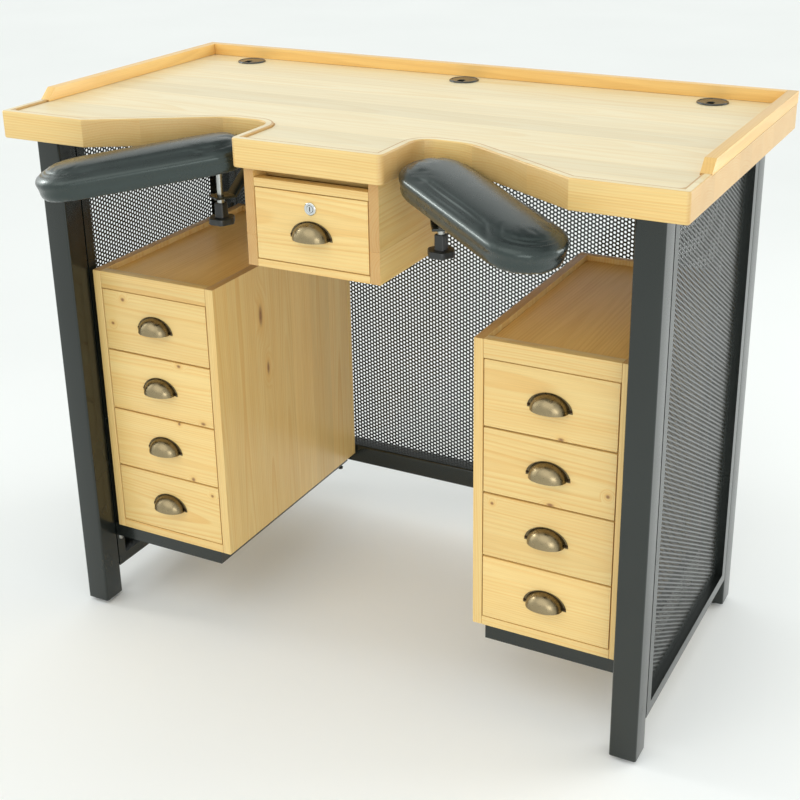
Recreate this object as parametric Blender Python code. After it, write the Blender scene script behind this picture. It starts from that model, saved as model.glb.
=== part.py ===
"""Watch repair bench: a pine top on a black steel frame, with two drawer cabinets, a locking centre
drawer and two swivelling arm rests.

Metres, +Z up, +X to the sitter's right, -Y towards the sitter. The world origin lies on the floor, under
the middle of the bench's outline. Inside the bench, Y is measured back from the top's front edge.
"""

import math

import bmesh
import bpy
from mathutils import Matrix, Vector

# Clearances
GAP = 0.0003                    # between pieces that touch
EASED_EDGE = 0.001              # small chamfer along the edges of boards
ARC_STEP = math.radians(15)     # longest step along an arc

# Worktop: a thick pine slab whose front is cut out on both sides of a middle tongue
TOP_WIDTH = 1.200
TOP_DEPTH = 0.620
TOP_HEIGHT = 0.973              # floor to the top of the front lip
TOP_THICKNESS = 0.047           # lip included
TOP_CORNER_RADIUS = 0.006
LIP_HEIGHT = 0.0035
LIP_WIDTH = 0.014
TRAY_CORNER_RADIUS = 0.012      # inner corners of the sunk surface
TONGUE_WIDTH = 0.268
TONGUE_CORNER_RADIUS = 0.010
CUT_DEPTH = 0.122
CUT_SLOPE = math.radians(30.3)  # slanted edge of a cut-out, from the front edge
CUT_ROOT_RADIUS = 0.030
CUT_KNEE_RADIUS = 0.080
CUT_TIP_RADIUS = 0.003
RAIL_THICKNESS = 0.018
RAIL_RISE = 0.018               # above the lip
RAIL_SETBACK = 0.100            # front ends of the side rails, from the front edge
RAIL_END_RUN = 0.020            # slope of those ends

# Cable grommets along the back of the top
GROMMET_SPACING = 0.468
GROMMET_FROM_BACK = 0.054
GROMMET_HOLE = 0.049
GROMMET_FLANGE = 0.055
GROMMET_FLANGE_THICKNESS = 0.0025
GROMMET_LENGTH = 0.020
GROMMET_WALL = 0.002
GROMMET_DISH = 0.0008           # depth of the cap inside its rim
GROMMET_RIM = 0.0035
CABLE_SLOT_WIDTH = 0.013
CABLE_SLOT_LENGTH = 0.017

# Steel frame
SIDE_OVERHANG = 0.0405
FRONT_OVERHANG = 0.0335
BACK_OVERHANG = 0.027
LEG_SIDE = 0.046
LEG_WALL = 0.002
LEG_CORNER_RADIUS = 0.004
FOOT_HEIGHT = 0.008
FOOT_DIAMETER = 0.030
FOOT_PLUG_HEIGHT = 0.015
SIDE_BAR = 0.020                # face of the bars round a side panel
SIDE_BAR_WALL = 0.0018
SIDE_FRAME_BOTTOM = 0.064
VENT_DIAMETER = 0.006           # weld vent under each side frame
PANEL_RECESS = 0.012            # side panels, behind the frame's outer face
SHEET_THICKNESS = 0.001
SHEET_MARGIN = 0.004            # back panel, inside the frame's outline
SHEET_HOLE = 0.005              # real round holes, in staggered rows
SHEET_PITCH = 0.008
SHEET_BORDER = 0.014            # plain border round the holes
BACK_OPENINGS = (12, 8)         # coarse openings that stand for the holes, across and up
SIDE_OPENINGS = (5, 9)
BACK_RAIL_SIDE = 0.040
UPPER_RAIL_DEPTH = 0.020        # clear of the grommets' cable slots
BACK_RAIL_WALL = 0.002
BACK_RAIL_BOTTOM = 0.132
SUPPORT_BOTTOM = 0.130
SUPPORT_HEIGHT = 0.0255
SUPPORT_BAR = 0.030
SUPPORT_WALL = 0.002
SUPPORT_SETBACK = 0.002         # front bar, behind the cabinet's front
SUPPORT_INSET = 0.023           # inner bar, inside the cabinet's inner side

# Drawer cabinets
CABINET_WIDTH = 0.260
CABINET_HEIGHT = 0.521
CABINET_SIDE_GAP = 0.0065       # cabinet to leg
CABINET_SETBACK = 0.0015        # cabinet front, behind the front legs
CABINET_BACK_GAP = 0.005        # cabinet to back rail
CABINET_BOARD = 0.0165
CABINET_BACK_BOARD = 0.012
CABINET_TOP_BOARD = 0.012
CABINET_RIM = 0.010             # boards standing proud round the sunk top
CABINET_TOP_RAIL = 0.032
DRAWERS = 4
RUNNER_WIDTH = 0.010
RUNNER_HEIGHT = 0.008
RUNNER_LIFT = 0.003             # runner above the foot of its bay

# Drawers
DRAWER_REVEAL = 0.0015          # gap round a drawer front
DRAWER_FRONT = 0.018
DRAWER_SIDE = 0.012
DRAWER_BOTTOM = 0.006
DRAWER_SIDE_PLAY = 0.003        # drawer box to cabinet side
DRAWER_HEAD_ROOM = 0.010        # drawer box below the top of its bay
DRAWER_BACK_ROOM = 0.020        # behind a closed drawer

# Centre drawer
CASE_WIDTH = 0.241
CASE_HEIGHT = 0.162
CASE_DEPTH = 0.2315
CASE_SETBACK = 0.0135           # case front, behind the tongue's front
CASE_BOARD = 0.0175
CASE_BOTTOM_BOARD = 0.0125
CASE_SLOT = 0.016               # open slot under the top
CASE_RAIL = 0.0137              # rail between the slot and the drawer
CASE_RAIL_DEPTH = 0.018

# Cup pulls
PULL_WIDTH = 0.076
PULL_HEIGHT = 0.029
PULL_REACH = 0.024
PULL_WALL = 0.0016
PULL_FLANGE = 0.010
PULL_FLANGE_THICKNESS = 0.0015
PULL_DROP = 0.008               # pull's lower edge, below the middle of a cabinet drawer's front
CENTRE_PULL_DROP = 0.014
PULL_STEPS = 12
PULL_ARC_STEPS = 5

# Cam lock of the centre drawer
LOCK_ABOVE_MIDDLE = 0.035
LOCK_FACE = 0.021
LOCK_FACE_THICKNESS = 0.0025
LOCK_BARREL = 0.016
LOCK_BARREL_TAIL = 0.002        # barrel past the back of the drawer front
LOCK_PLUG = 0.011
LOCK_PLUG_TAIL = 0.006          # plug past the back of the drawer front
KEYWAY_WIDTH = 0.0016
KEYWAY_LENGTH = 0.007
KEYWAY_DEPTH = 0.010
CAM_LENGTH = 0.030
CAM_WIDTH = 0.010
CAM_THICKNESS = 0.002

# Arm rests
PAD_LENGTH = 0.350
PAD_WIDTH = 0.125
PAD_THICKNESS = 0.0535
PAD_DROP = 0.0135               # pad's top over the stud, below the lip
PAD_TILT = math.radians(8.3)    # outer end down
PAD_TURN = math.radians(33.0)   # from the front edge
PAD_CROWN = 0.007               # rise of the middle over the upper edge
PAD_TUCK = 0.008                # sides drawn in at the foot
PAD_SHOULDER = 0.011            # sides drawn in at the upper edge
PAD_SIDE_RINGS = 6
PAD_CROWN_RINGS = 3
PAD_TONGUE_CLEARANCE = 0.005
PAD_BACK_CLEARANCE = 0.0055
PAD_EDGE_CLEARANCE = 0.0047
STUD_BEHIND = 0.0065            # stud, behind the middle of the pad's round end
POST_DIAMETER = 0.0105
POST_PLATE = 0.050
POST_PLATE_THICKNESS = 0.003
STUD_DIAMETER = 0.008
STUD_TAIL = 0.003               # stud below the knob
BRACKET_WIDTH = 0.030
BRACKET_THICKNESS = 0.004
BRACKET_DROP = 0.069            # plate's upper face, below the top's underside
BRACKET_TURN = math.radians(60) # from the front edge, towards the root of the tongue
BRACKET_NOSE = 0.015            # plate in front of the stud
BRACKET_RISER_START = 0.020     # plate behind the stud, up to the riser
BRACKET_TO_PAD = 0.012          # head of the riser, clear of the pad's end
BRACKET_FLANGE = 0.048
KNOB_BOSS_DIAMETER = 0.0125
KNOB_BOSS = 0.008
KNOB_HUB_DIAMETER = 0.022
KNOB_HUB = 0.024
KNOB_FLANGE_DIAMETER = 0.045
KNOB_FLANGE = 0.011
KNOB_LOBES = 6
KNOB_LOBE_DEPTH = 0.002

# Sides of the round pieces
ROUND_STEPS = 24
FINE_STEPS = 36

# Heights and places that follow
TOP_UNDERSIDE = TOP_HEIGHT - TOP_THICKNESS
TOP_SURFACE = TOP_HEIGHT - LIP_HEIGHT
FRAME_TOP = TOP_UNDERSIDE - GAP
LEG_OUTER_X = TOP_WIDTH / 2 - SIDE_OVERHANG
LEG_INNER_X = LEG_OUTER_X - LEG_SIDE
FRONT_LEG_BACK = FRONT_OVERHANG + LEG_SIDE
REAR_LEG_BACK = TOP_DEPTH - BACK_OVERHANG
REAR_LEG_FRONT = REAR_LEG_BACK - LEG_SIDE
BACK_RAIL_FRONT = REAR_LEG_BACK - BACK_RAIL_SIDE
CABINET_OUTER_X = LEG_INNER_X - CABINET_SIDE_GAP
CABINET_INNER_X = CABINET_OUTER_X - CABINET_WIDTH
CABINET_FRONT = FRONT_LEG_BACK + CABINET_SETBACK
CABINET_BACK = BACK_RAIL_FRONT - CABINET_BACK_GAP
CABINET_FOOT = SUPPORT_BOTTOM + SUPPORT_HEIGHT + GAP
CABINET_HEAD = CABINET_FOOT + CABINET_HEIGHT
BAY_LOW = CABINET_FOOT + CABINET_BOARD
BAY_HIGH = CABINET_HEAD - CABINET_TOP_RAIL
BAY_PITCH = (BAY_HIGH - BAY_LOW) / DRAWERS
CASE_FRONT = CASE_SETBACK
CASE_HEAD = TOP_UNDERSIDE - GAP
CASE_FOOT = CASE_HEAD - CASE_HEIGHT
CASE_RAIL_TOP = TOP_UNDERSIDE - CASE_SLOT
CASE_BAY_HIGH = CASE_RAIL_TOP - CASE_RAIL
CASE_BAY_LOW = CASE_FOOT + CASE_BOTTOM_BOARD
CENTRE_DRAWER_MIDDLE = (CASE_BAY_LOW + CASE_BAY_HIGH) / 2
STUD_X = TONGUE_WIDTH / 2 + PAD_WIDTH / 2 + PAD_TONGUE_CLEARANCE
PAD_Y = CUT_DEPTH - PAD_WIDTH / 2 - PAD_BACK_CLEARANCE
STUD_Y = PAD_Y + STUD_BEHIND
PAD_FOOT = TOP_HEIGHT - PAD_DROP - PAD_THICKNESS
BRACKET_TOP = TOP_UNDERSIDE - BRACKET_DROP
BRACKET_LOW = BRACKET_TOP - BRACKET_THICKNESS


# Building meshes

def spread(axis, across, along, at):
    """A point from two coordinates across an axis and one along it."""
    return {"X": (at, across, along), "Y": (across, at, along), "Z": (across, along, at)}[axis]


def rounded(corners):
    """A closed outline from (x, y, radius) corners, with an arc at each corner that has a radius."""
    outline = []
    for index, (x, y, radius) in enumerate(corners):
        here = Vector((x, y))
        to_last = (Vector(corners[index - 1][:2]) - here).normalized()
        to_next = (Vector(corners[(index + 1) % len(corners)][:2]) - here).normalized()
        half = to_last.angle(to_next) / 2
        if radius <= 0:
            outline.append(here)
            continue
        centre = here + (to_last + to_next).normalized() * radius / math.sin(half)
        start = here + to_last * radius / math.tan(half) - centre
        sweep = math.copysign(math.pi - 2 * half, to_next.cross(to_last))
        steps = max(1, math.ceil(abs(sweep) / ARC_STEP))
        for step in range(steps + 1):
            turned = Matrix.Rotation(sweep * step / steps, 2) @ start
            outline.append(centre + turned)
    return outline


def rectangle(low, high, radius=0.0):
    """Corners of a rectangle for rounded()."""
    return [(low[0], low[1], radius), (high[0], low[1], radius),
            (high[0], high[1], radius), (low[0], high[1], radius)]


def circle(diameter, steps=ROUND_STEPS, centre=(0.0, 0.0)):
    """Points round a circle."""
    angles = [2 * math.pi * step / steps for step in range(steps)]
    return [Vector((centre[0] + diameter / 2 * math.cos(a), centre[1] + diameter / 2 * math.sin(a)))
            for a in angles]


def loft(sections, around=False):
    """A closed skin over sections of equal length; the ends are capped, or joined when it goes around."""
    bm = bmesh.new()
    rings = [[bm.verts.new(point) for point in section] for section in sections]
    pairs = list(zip(rings, rings[1:]))
    if around:
        pairs.append((rings[-1], rings[0]))
    else:
        bm.faces.new(rings[0])
        bm.faces.new(rings[-1])
    for ring, after in pairs:
        for index in range(len(ring)):
            bm.faces.new((ring[index - 1], ring[index], after[index], after[index - 1]))
    bmesh.ops.remove_doubles(bm, verts=bm.verts, dist=1e-7)
    bmesh.ops.recalc_face_normals(bm, faces=bm.faces)
    return bm


def prism(outline, low, high, axis="Z"):
    """An outline drawn straight along an axis."""
    return loft([[spread(axis, p[0], p[1], at) for p in outline] for at in (low, high)])


def tube(outer, inner, low, high, axis="Z"):
    """A straight tube between two outlines with as many points each."""
    ends = [(outer, low), (outer, high), (inner, high), (inner, low)]
    return loft([[spread(axis, p[0], p[1], at) for p in outline] for outline, at in ends], around=True)


def turned(profile, axis="Z", steps=ROUND_STEPS):
    """A (radius, height) profile turned round an axis through the origin."""
    sections = []
    for step in range(steps):
        angle = 2 * math.pi * step / steps
        sections.append([spread(axis, r * math.cos(angle), r * math.sin(angle), h) for r, h in profile])
    return loft(sections, around=True)


def block(low, high, eased=0.0):
    """A box between two corners, with eased edges where asked."""
    bm = prism(rounded(rectangle(low[:2], high[:2])), low[2], high[2])
    if eased:
        bmesh.ops.bevel(bm, geom=bm.edges[:], offset=eased, segments=1, affect="EDGES", profile=0.5)
    return bm


def mesh_of(bm, smooth=None):
    """The bmesh as mesh data, shaded smooth up to an angle where one is given."""
    mesh = bpy.data.meshes.new("shape")
    bm.to_mesh(mesh)
    bm.free()
    if smooth is not None:
        mesh.shade_smooth()
        mesh.set_sharp_from_angle(angle=smooth)
    return mesh


def combined(base, joined=(), cut=()):
    """The base with other shapes joined to it, then others cut from it."""
    stock = [bpy.data.objects.new("stock", mesh_of(bm)) for bm in (base, *joined, *cut)]
    for obj in stock:
        bpy.context.scene.collection.objects.link(obj)
    for index, other in enumerate(stock[1:]):
        step = stock[0].modifiers.new("shape", "BOOLEAN")
        step.operation = "UNION" if index < len(joined) else "DIFFERENCE"
        step.solver = "EXACT"
        step.object = other
    result = stock[0].evaluated_get(bpy.context.evaluated_depsgraph_get())
    mesh = bpy.data.meshes.new_from_object(result)
    for obj in stock:
        bpy.data.objects.remove(obj)
    return mesh


def moved(bm, offset):
    """The bmesh shifted by an offset."""
    bmesh.ops.translate(bm, verts=bm.verts, vec=offset)
    return bm


def add_empty(name, parent, location):
    """An empty that carries pieces, at a place measured from its parent."""
    empty = bpy.data.objects.new(name, None)
    bpy.context.scene.collection.objects.link(empty)
    empty.parent = parent
    empty.location = location
    return empty


def add_piece(name, mesh, material, parent, location=(0, 0, 0), rotation=(0, 0, 0)):
    """A named piece with its material, at a place measured from its parent."""
    if isinstance(mesh, bmesh.types.BMesh):
        mesh = mesh_of(mesh)
    mesh.materials.clear()
    mesh.materials.append(material)
    piece = bpy.data.objects.new(name, mesh)
    bpy.context.scene.collection.objects.link(piece)
    piece.parent = parent
    piece.location = location
    piece.rotation_euler = rotation
    return piece


def add_board(name, low, high, material, parent):
    """A straight board with eased edges and its origin in its middle."""
    low, high = Vector(low), Vector(high)
    middle = (low + high) / 2
    return add_piece(name, block(low - middle, high - middle, EASED_EDGE), material, parent, middle)


def make_material(name, colour, roughness, metallic=0.0):
    """A Principled material of one colour."""
    material = bpy.data.materials.new(name)
    material.use_nodes = True
    shader = material.node_tree.nodes["Principled BSDF"]
    shader.inputs["Base Color"].default_value = (*colour, 1.0)
    shader.inputs["Roughness"].default_value = roughness
    shader.inputs["Metallic"].default_value = metallic
    return material


# Worktop

def top_corners():
    """Corners of the slab, seen from above and counter-clockwise from the front left.

    Each cut-out's slanted edge keeps its clearance from the pad's round end."""
    half, tongue = TOP_WIDTH / 2, TONGUE_WIDTH / 2
    reach = (STUD_X * math.sin(CUT_SLOPE) + PAD_Y * math.cos(CUT_SLOPE)
             + PAD_WIDTH / 2 + PAD_EDGE_CLEARANCE)
    tip = reach / math.sin(CUT_SLOPE)
    knee = (reach - CUT_DEPTH * math.cos(CUT_SLOPE)) / math.sin(CUT_SLOPE)
    right = [(tongue, 0.0, TONGUE_CORNER_RADIUS), (tongue, CUT_DEPTH, CUT_ROOT_RADIUS),
             (knee, CUT_DEPTH, CUT_KNEE_RADIUS), (tip, 0.0, CUT_TIP_RADIUS),
             (half, 0.0, TOP_CORNER_RADIUS)]
    left = [(-x, y, radius) for x, y, radius in reversed(right)]
    back = [(half, TOP_DEPTH, TOP_CORNER_RADIUS), (-half, TOP_DEPTH, TOP_CORNER_RADIUS)]
    return left + right + back


def inset(corners, distance):
    """The corners moved in by a distance from both their edges, with radii that follow."""
    moved_in = []
    for index, (x, y, radius) in enumerate(corners):
        here = Vector((x, y))
        come = (here - Vector(corners[index - 1][:2])).normalized()
        leave = (Vector(corners[(index + 1) % len(corners)][:2]) - here).normalized()
        turn = come.cross(leave)
        normal = Vector((-come.y, come.x)) + Vector((-leave.y, leave.x))
        here += normal * distance / (1 + come.dot(leave))
        follow = radius - distance if turn > 0 else radius + distance
        moved_in.append((here.x, here.y, max(follow, 0.0)))
    return moved_in


def make_worktop(bench, wood):
    """The slab, sunk behind its front lip, with a hole for each grommet."""
    corners = top_corners()
    slab = prism(rounded(corners), TOP_UNDERSIDE, TOP_HEIGHT)
    half, past = TOP_WIDTH / 2, LIP_WIDTH
    edge = half - LIP_WIDTH
    start = RAIL_SETBACK - GAP
    front = inset(corners, LIP_WIDTH)[1:-3]
    sunk = ([(-edge, LIP_WIDTH, TRAY_CORNER_RADIUS)] + front + [(edge, LIP_WIDTH, TRAY_CORNER_RADIUS)]
            + [(edge, start, 0), (half + past, start, 0), (half + past, TOP_DEPTH + past, 0)]
            + [(-half - past, TOP_DEPTH + past, 0), (-half - past, start, 0), (-edge, start, 0)])
    cuts = [prism(rounded(sunk), TOP_SURFACE, TOP_HEIGHT + LIP_HEIGHT)]
    for x in grommet_places():
        hole = circle(GROMMET_HOLE, FINE_STEPS, (x, TOP_DEPTH - GROMMET_FROM_BACK))
        cuts.append(prism(hole, TOP_UNDERSIDE - LIP_WIDTH, TOP_HEIGHT + LIP_WIDTH))
    add_piece("worktop", combined(slab, cut=cuts), wood, bench)


def make_top_rails(bench, wood):
    """The low rails round three sides of the top; the side rails' front ends slope down to the lip."""
    half = TOP_WIDTH / 2
    low, high = TOP_SURFACE + GAP, TOP_HEIGHT + RAIL_RISE
    outline = [(RAIL_SETBACK, low), (TOP_DEPTH, low), (TOP_DEPTH, high),
               (RAIL_SETBACK + RAIL_END_RUN, high), (RAIL_SETBACK, TOP_HEIGHT)]
    for side, name in ((-1, "top_rail_left"), (1, "top_rail_right")):
        ends = sorted((side * half, side * (half - RAIL_THICKNESS)))
        add_piece(name, prism(outline, *ends, axis="X"), wood, bench)
    reach = half - RAIL_THICKNESS - GAP
    add_board("top_rail_back", (-reach, TOP_DEPTH - RAIL_THICKNESS, low), (reach, TOP_DEPTH, high),
              wood, bench)


def grommet_places():
    """X of each grommet, left to right."""
    return [-GROMMET_SPACING, 0.0, GROMMET_SPACING]


def make_grommets(bench, plastic):
    """Cable grommets: a flanged liner under a dished cap with a slot for the cable."""
    outer = GROMMET_HOLE / 2 - GAP
    inner = outer - GROMMET_WALL
    flange = GROMMET_FLANGE / 2
    top = GROMMET_FLANGE_THICKNESS
    rim = flange - GROMMET_RIM
    profile = [(0, 0), (inner, 0), (inner, -GROMMET_LENGTH), (outer, -GROMMET_LENGTH), (outer, 0),
               (flange, 0), (flange, top / 2), (flange - top / 2, top), (rim, top),
               (rim, top - GROMMET_DISH), (0, top - GROMMET_DISH)]
    for x, place in zip(grommet_places(), ("left", "centre", "right")):
        front = GROMMET_WALL - inner
        slot = block((-CABLE_SLOT_WIDTH / 2, front, -GROMMET_LENGTH / 2),
                     (CABLE_SLOT_WIDTH / 2, front + CABLE_SLOT_LENGTH, GROMMET_LENGTH))
        mesh = combined(turned(profile, steps=FINE_STEPS), cut=[slot])
        add_piece("grommet_" + place, mesh, plastic, bench,
                  (x, TOP_DEPTH - GROMMET_FROM_BACK, TOP_SURFACE + GAP))


# Steel frame

def make_legs(bench, steel, plastic):
    """Square tube legs, each with a plastic foot plugged into its lower end."""
    half = LEG_SIDE / 2
    bore = half - LEG_WALL
    outer = rounded(rectangle((-half, -half), (half, half), LEG_CORNER_RADIUS))
    inner = rounded(rectangle((-bore, -bore), (bore, bore), LEG_CORNER_RADIUS - LEG_WALL))
    plug = bore - GAP
    for side, hand in ((-1, "left"), (1, "right")):
        for front, row in ((FRONT_OVERHANG, "front"), (REAR_LEG_FRONT, "rear")):
            place = (side * (LEG_INNER_X + half), front + half, FOOT_HEIGHT)
            leg = tube(outer, inner, 0.0, FRAME_TOP - FOOT_HEIGHT)
            add_piece(f"leg_{row}_{hand}", leg, steel, bench, place)
            pad = prism(circle(FOOT_DIAMETER), -FOOT_HEIGHT, -GAP)
            stem = prism(circle(FOOT_DIAMETER), -FOOT_HEIGHT / 2, FOOT_PLUG_HEIGHT / 2)
            insert = prism(rounded(rectangle((-plug, -plug), (plug, plug), LEG_CORNER_RADIUS - LEG_WALL)),
                           GAP, FOOT_PLUG_HEIGHT)
            add_piece(f"foot_{row}_{hand}", combined(pad, joined=[stem, insert]), plastic, bench, place)


def open_sheet(low, high, counts, faces, axis):
    """A sheet between two corners, with a coarse grid of openings across the axis in place of its fine holes.

    The openings leave the same share open as the real holes do."""
    hole, cell = math.pi / 4 * SHEET_HOLE ** 2, SHEET_PITCH ** 2 * math.sqrt(3) / 2
    open_share = math.sqrt(hole / cell)
    lines = []
    for start, end, count in zip(low, high, counts):
        pitch = (end - start - 2 * SHEET_BORDER) / count
        bar = pitch * (1 - open_share)
        marks = [start]
        for number in range(count):
            begin = start + SHEET_BORDER + number * pitch
            marks += [begin + bar / 2, begin + pitch - bar / 2]
        lines.append(marks + [end])
    bm = bmesh.new()
    corner = {(i, j, k): bm.verts.new(spread(axis, across, up, at))
              for i, across in enumerate(lines[0]) for j, up in enumerate(lines[1]) for k, at in enumerate(faces)}

    def solid(i, j):
        """Whether the cell between these lines and the next is metal."""
        return 0 <= i < len(lines[0]) - 1 and 0 <= j < len(lines[1]) - 1 and not (i % 2 and j % 2)

    for i in range(len(lines[0]) - 1):
        for j in range(len(lines[1]) - 1):
            if not solid(i, j):
                continue
            cell = [(i, j), (i + 1, j), (i + 1, j + 1), (i, j + 1)]
            for k in (0, 1):
                bm.faces.new([corner[(*place, k)] for place in cell])
            for number, (right, up) in enumerate(((0, -1), (1, 0), (0, 1), (-1, 0))):
                if not solid(i + right, j + up):
                    a, b = cell[number], cell[(number + 1) % 4]
                    bm.faces.new([corner[(*a, 0)], corner[(*b, 0)], corner[(*b, 1)], corner[(*a, 1)]])
    bmesh.ops.recalc_face_normals(bm, faces=bm.faces)
    return bm


def make_side_frames(bench, steel, sheet):
    """A welded tube frame between the legs on each side, with a perforated sheet set into it."""
    low = (FRONT_LEG_BACK + GAP, SIDE_FRAME_BOTTOM)
    high = (REAR_LEG_FRONT - GAP, FRAME_TOP)

    def ring(inward):
        """Outline of the frame, moved in by a distance."""
        return rounded(rectangle((low[0] + inward, low[1] + inward), (high[0] - inward, high[1] - inward)))

    for side, hand in ((-1, "left"), (1, "right")):
        near, far = sorted((side * LEG_INNER_X, side * LEG_OUTER_X))
        frame = tube(ring(0), ring(SIDE_BAR), near, far, axis="X")
        hollow = tube(ring(SIDE_BAR_WALL), ring(SIDE_BAR - SIDE_BAR_WALL),
                      near + SIDE_BAR_WALL, far - SIDE_BAR_WALL, axis="X")
        vent = prism(circle(VENT_DIAMETER, 12, ((near + far) / 2, (low[0] + high[0]) / 2)),
                     low[1] - SIDE_BAR_WALL, low[1] + SIDE_BAR / 2)
        add_piece(f"side_frame_{hand}", combined(frame, cut=[hollow, vent]), steel, bench)
        face = LEG_OUTER_X - PANEL_RECESS
        ends = sorted((side * face, side * (face - SHEET_THICKNESS)))
        inward = SIDE_BAR + GAP
        panel = open_sheet((low[0] + inward, low[1] + inward), (high[0] - inward, high[1] - inward),
                           SIDE_OPENINGS, ends, axis="X")
        add_piece(f"side_panel_{hand}", mesh_of(panel), sheet, bench)


def make_back(bench, steel, sheet):
    """Two tubes between the rear legs, and the perforated sheet behind them."""
    reach = LEG_INNER_X - GAP
    wall = BACK_RAIL_WALL
    for place, low, depth in (("lower", BACK_RAIL_BOTTOM, BACK_RAIL_SIDE),
                              ("upper", FRAME_TOP - BACK_RAIL_SIDE, UPPER_RAIL_DEPTH)):
        front, high = REAR_LEG_BACK - depth, low + BACK_RAIL_SIDE
        outer = rounded(rectangle((front, low), (REAR_LEG_BACK, high), LEG_CORNER_RADIUS))
        inner = rounded(rectangle((front + wall, low + wall), (REAR_LEG_BACK - wall, high - wall),
                                  LEG_CORNER_RADIUS - wall))
        add_piece(f"back_rail_{place}", tube(outer, inner, -reach, reach, axis="X"), steel, bench)
    across = LEG_OUTER_X - SHEET_MARGIN
    skin = REAR_LEG_BACK + GAP
    panel = open_sheet((-across, BACK_RAIL_BOTTOM + SHEET_MARGIN), (across, FRAME_TOP - SHEET_MARGIN),
                       BACK_OPENINGS, (skin, skin + SHEET_THICKNESS), axis="Y")
    add_piece("back_panel", mesh_of(panel), sheet, bench)


def make_supports(bench, steel):
    """A three-sided tube frame under each cabinet, from the side frame to the lower back rail."""
    low, high = SUPPORT_BOTTOM, SUPPORT_BOTTOM + SUPPORT_HEIGHT
    front, back = CABINET_FRONT + SUPPORT_SETBACK, BACK_RAIL_FRONT - GAP
    inner, outer = CABINET_INNER_X + SUPPORT_INSET, LEG_INNER_X - GAP

    def three_bars(wall, past):
        """Plan of the bars, thinned by a wall and run past their open back ends."""
        bar = SUPPORT_BAR - wall
        end = back + past
        return [(inner + wall, front + wall), (outer - wall, front + wall), (outer - wall, end),
                (outer - bar, end), (outer - bar, front + bar), (inner + bar, front + bar),
                (inner + bar, end), (inner + wall, end)]

    for side, hand in ((-1, "left"), (1, "right")):
        plan = [(side * x, y) for x, y in three_bars(0.0, 0.0)]
        bore = [(side * x, y) for x, y in three_bars(SUPPORT_WALL, SUPPORT_BAR)]
        hollow = prism(bore, low + SUPPORT_WALL, high - SUPPORT_WALL)
        add_piece(f"cabinet_support_{hand}", combined(prism(plan, low, high), cut=[hollow]), steel, bench)


# Drawer cabinets

def carcass_profile():
    """Front view of a cabinet's sides, bottom and drawer runners, about its middle."""
    half = CABINET_WIDTH / 2
    face = half - CABINET_BOARD
    right = [(face, BAY_LOW)]
    for bay in range(DRAWERS):
        foot = BAY_LOW + bay * BAY_PITCH + RUNNER_LIFT
        right += [(face, foot), (face - RUNNER_WIDTH, foot),
                  (face - RUNNER_WIDTH, foot + RUNNER_HEIGHT), (face, foot + RUNNER_HEIGHT)]
    right += [(face, CABINET_HEAD), (half, CABINET_HEAD), (half, CABINET_FOOT)]
    left = [(-x, z) for x, z in reversed(right)]
    return right + left


def drawer_mesh(width, height, depth, lift, lock_height=None):
    """A drawer with its front, about the lower middle of the front's face.

    The box behind the front starts at lift, so that it clears its runners."""
    half = width / 2
    front = block((-half, 0, 0), (half, DRAWER_FRONT, height), EASED_EDGE)
    side = half + DRAWER_REVEAL - DRAWER_SIDE_PLAY
    head = height + DRAWER_REVEAL - DRAWER_HEAD_ROOM
    box = block((-side, DRAWER_FRONT / 2, lift), (side, depth, head))
    inside = block((DRAWER_SIDE - side, DRAWER_FRONT, lift + DRAWER_BOTTOM),
                   (side - DRAWER_SIDE, depth - DRAWER_SIDE, height + DRAWER_FRONT))
    cuts = [inside]
    if lock_height is not None:
        hole = circle(LOCK_BARREL + 2 * GAP, ROUND_STEPS, (0, lock_height))
        cuts.append(prism(hole, -DRAWER_FRONT, DRAWER_FRONT * 1.5, axis="Y"))
    return combined(front, joined=[box], cut=cuts)


def pull_mesh():
    """A cup pull: a quarter of a thin hollow dome with a flange round its back, open below."""
    half = PULL_WIDTH / 2
    dome, hollow = half - PULL_FLANGE, half - PULL_FLANGE - PULL_WALL
    profile = [(half, 0), (half, -PULL_FLANGE_THICKNESS), (dome, -PULL_FLANGE_THICKNESS)]
    quarter = [math.pi / 2 * step / PULL_ARC_STEPS for step in range(PULL_ARC_STEPS + 1)]
    out = PULL_REACH - PULL_FLANGE_THICKNESS
    profile += [(dome * math.cos(a), -PULL_FLANGE_THICKNESS - out * math.sin(a)) for a in quarter[1:-1]]
    profile += [(0, -PULL_REACH), (0, PULL_WALL - PULL_REACH)]
    profile += [(hollow * math.cos(a), (PULL_WALL - PULL_REACH) * math.sin(a))
                for a in reversed(quarter[:-1])]
    squash = PULL_HEIGHT / half
    sections = []
    for step in range(PULL_STEPS + 1):
        angle = math.pi * step / PULL_STEPS
        sections.append([(r * math.cos(angle), y, r * math.sin(angle) * squash) for r, y in profile])
    return mesh_of(loft(sections), smooth=math.radians(40))


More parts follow.
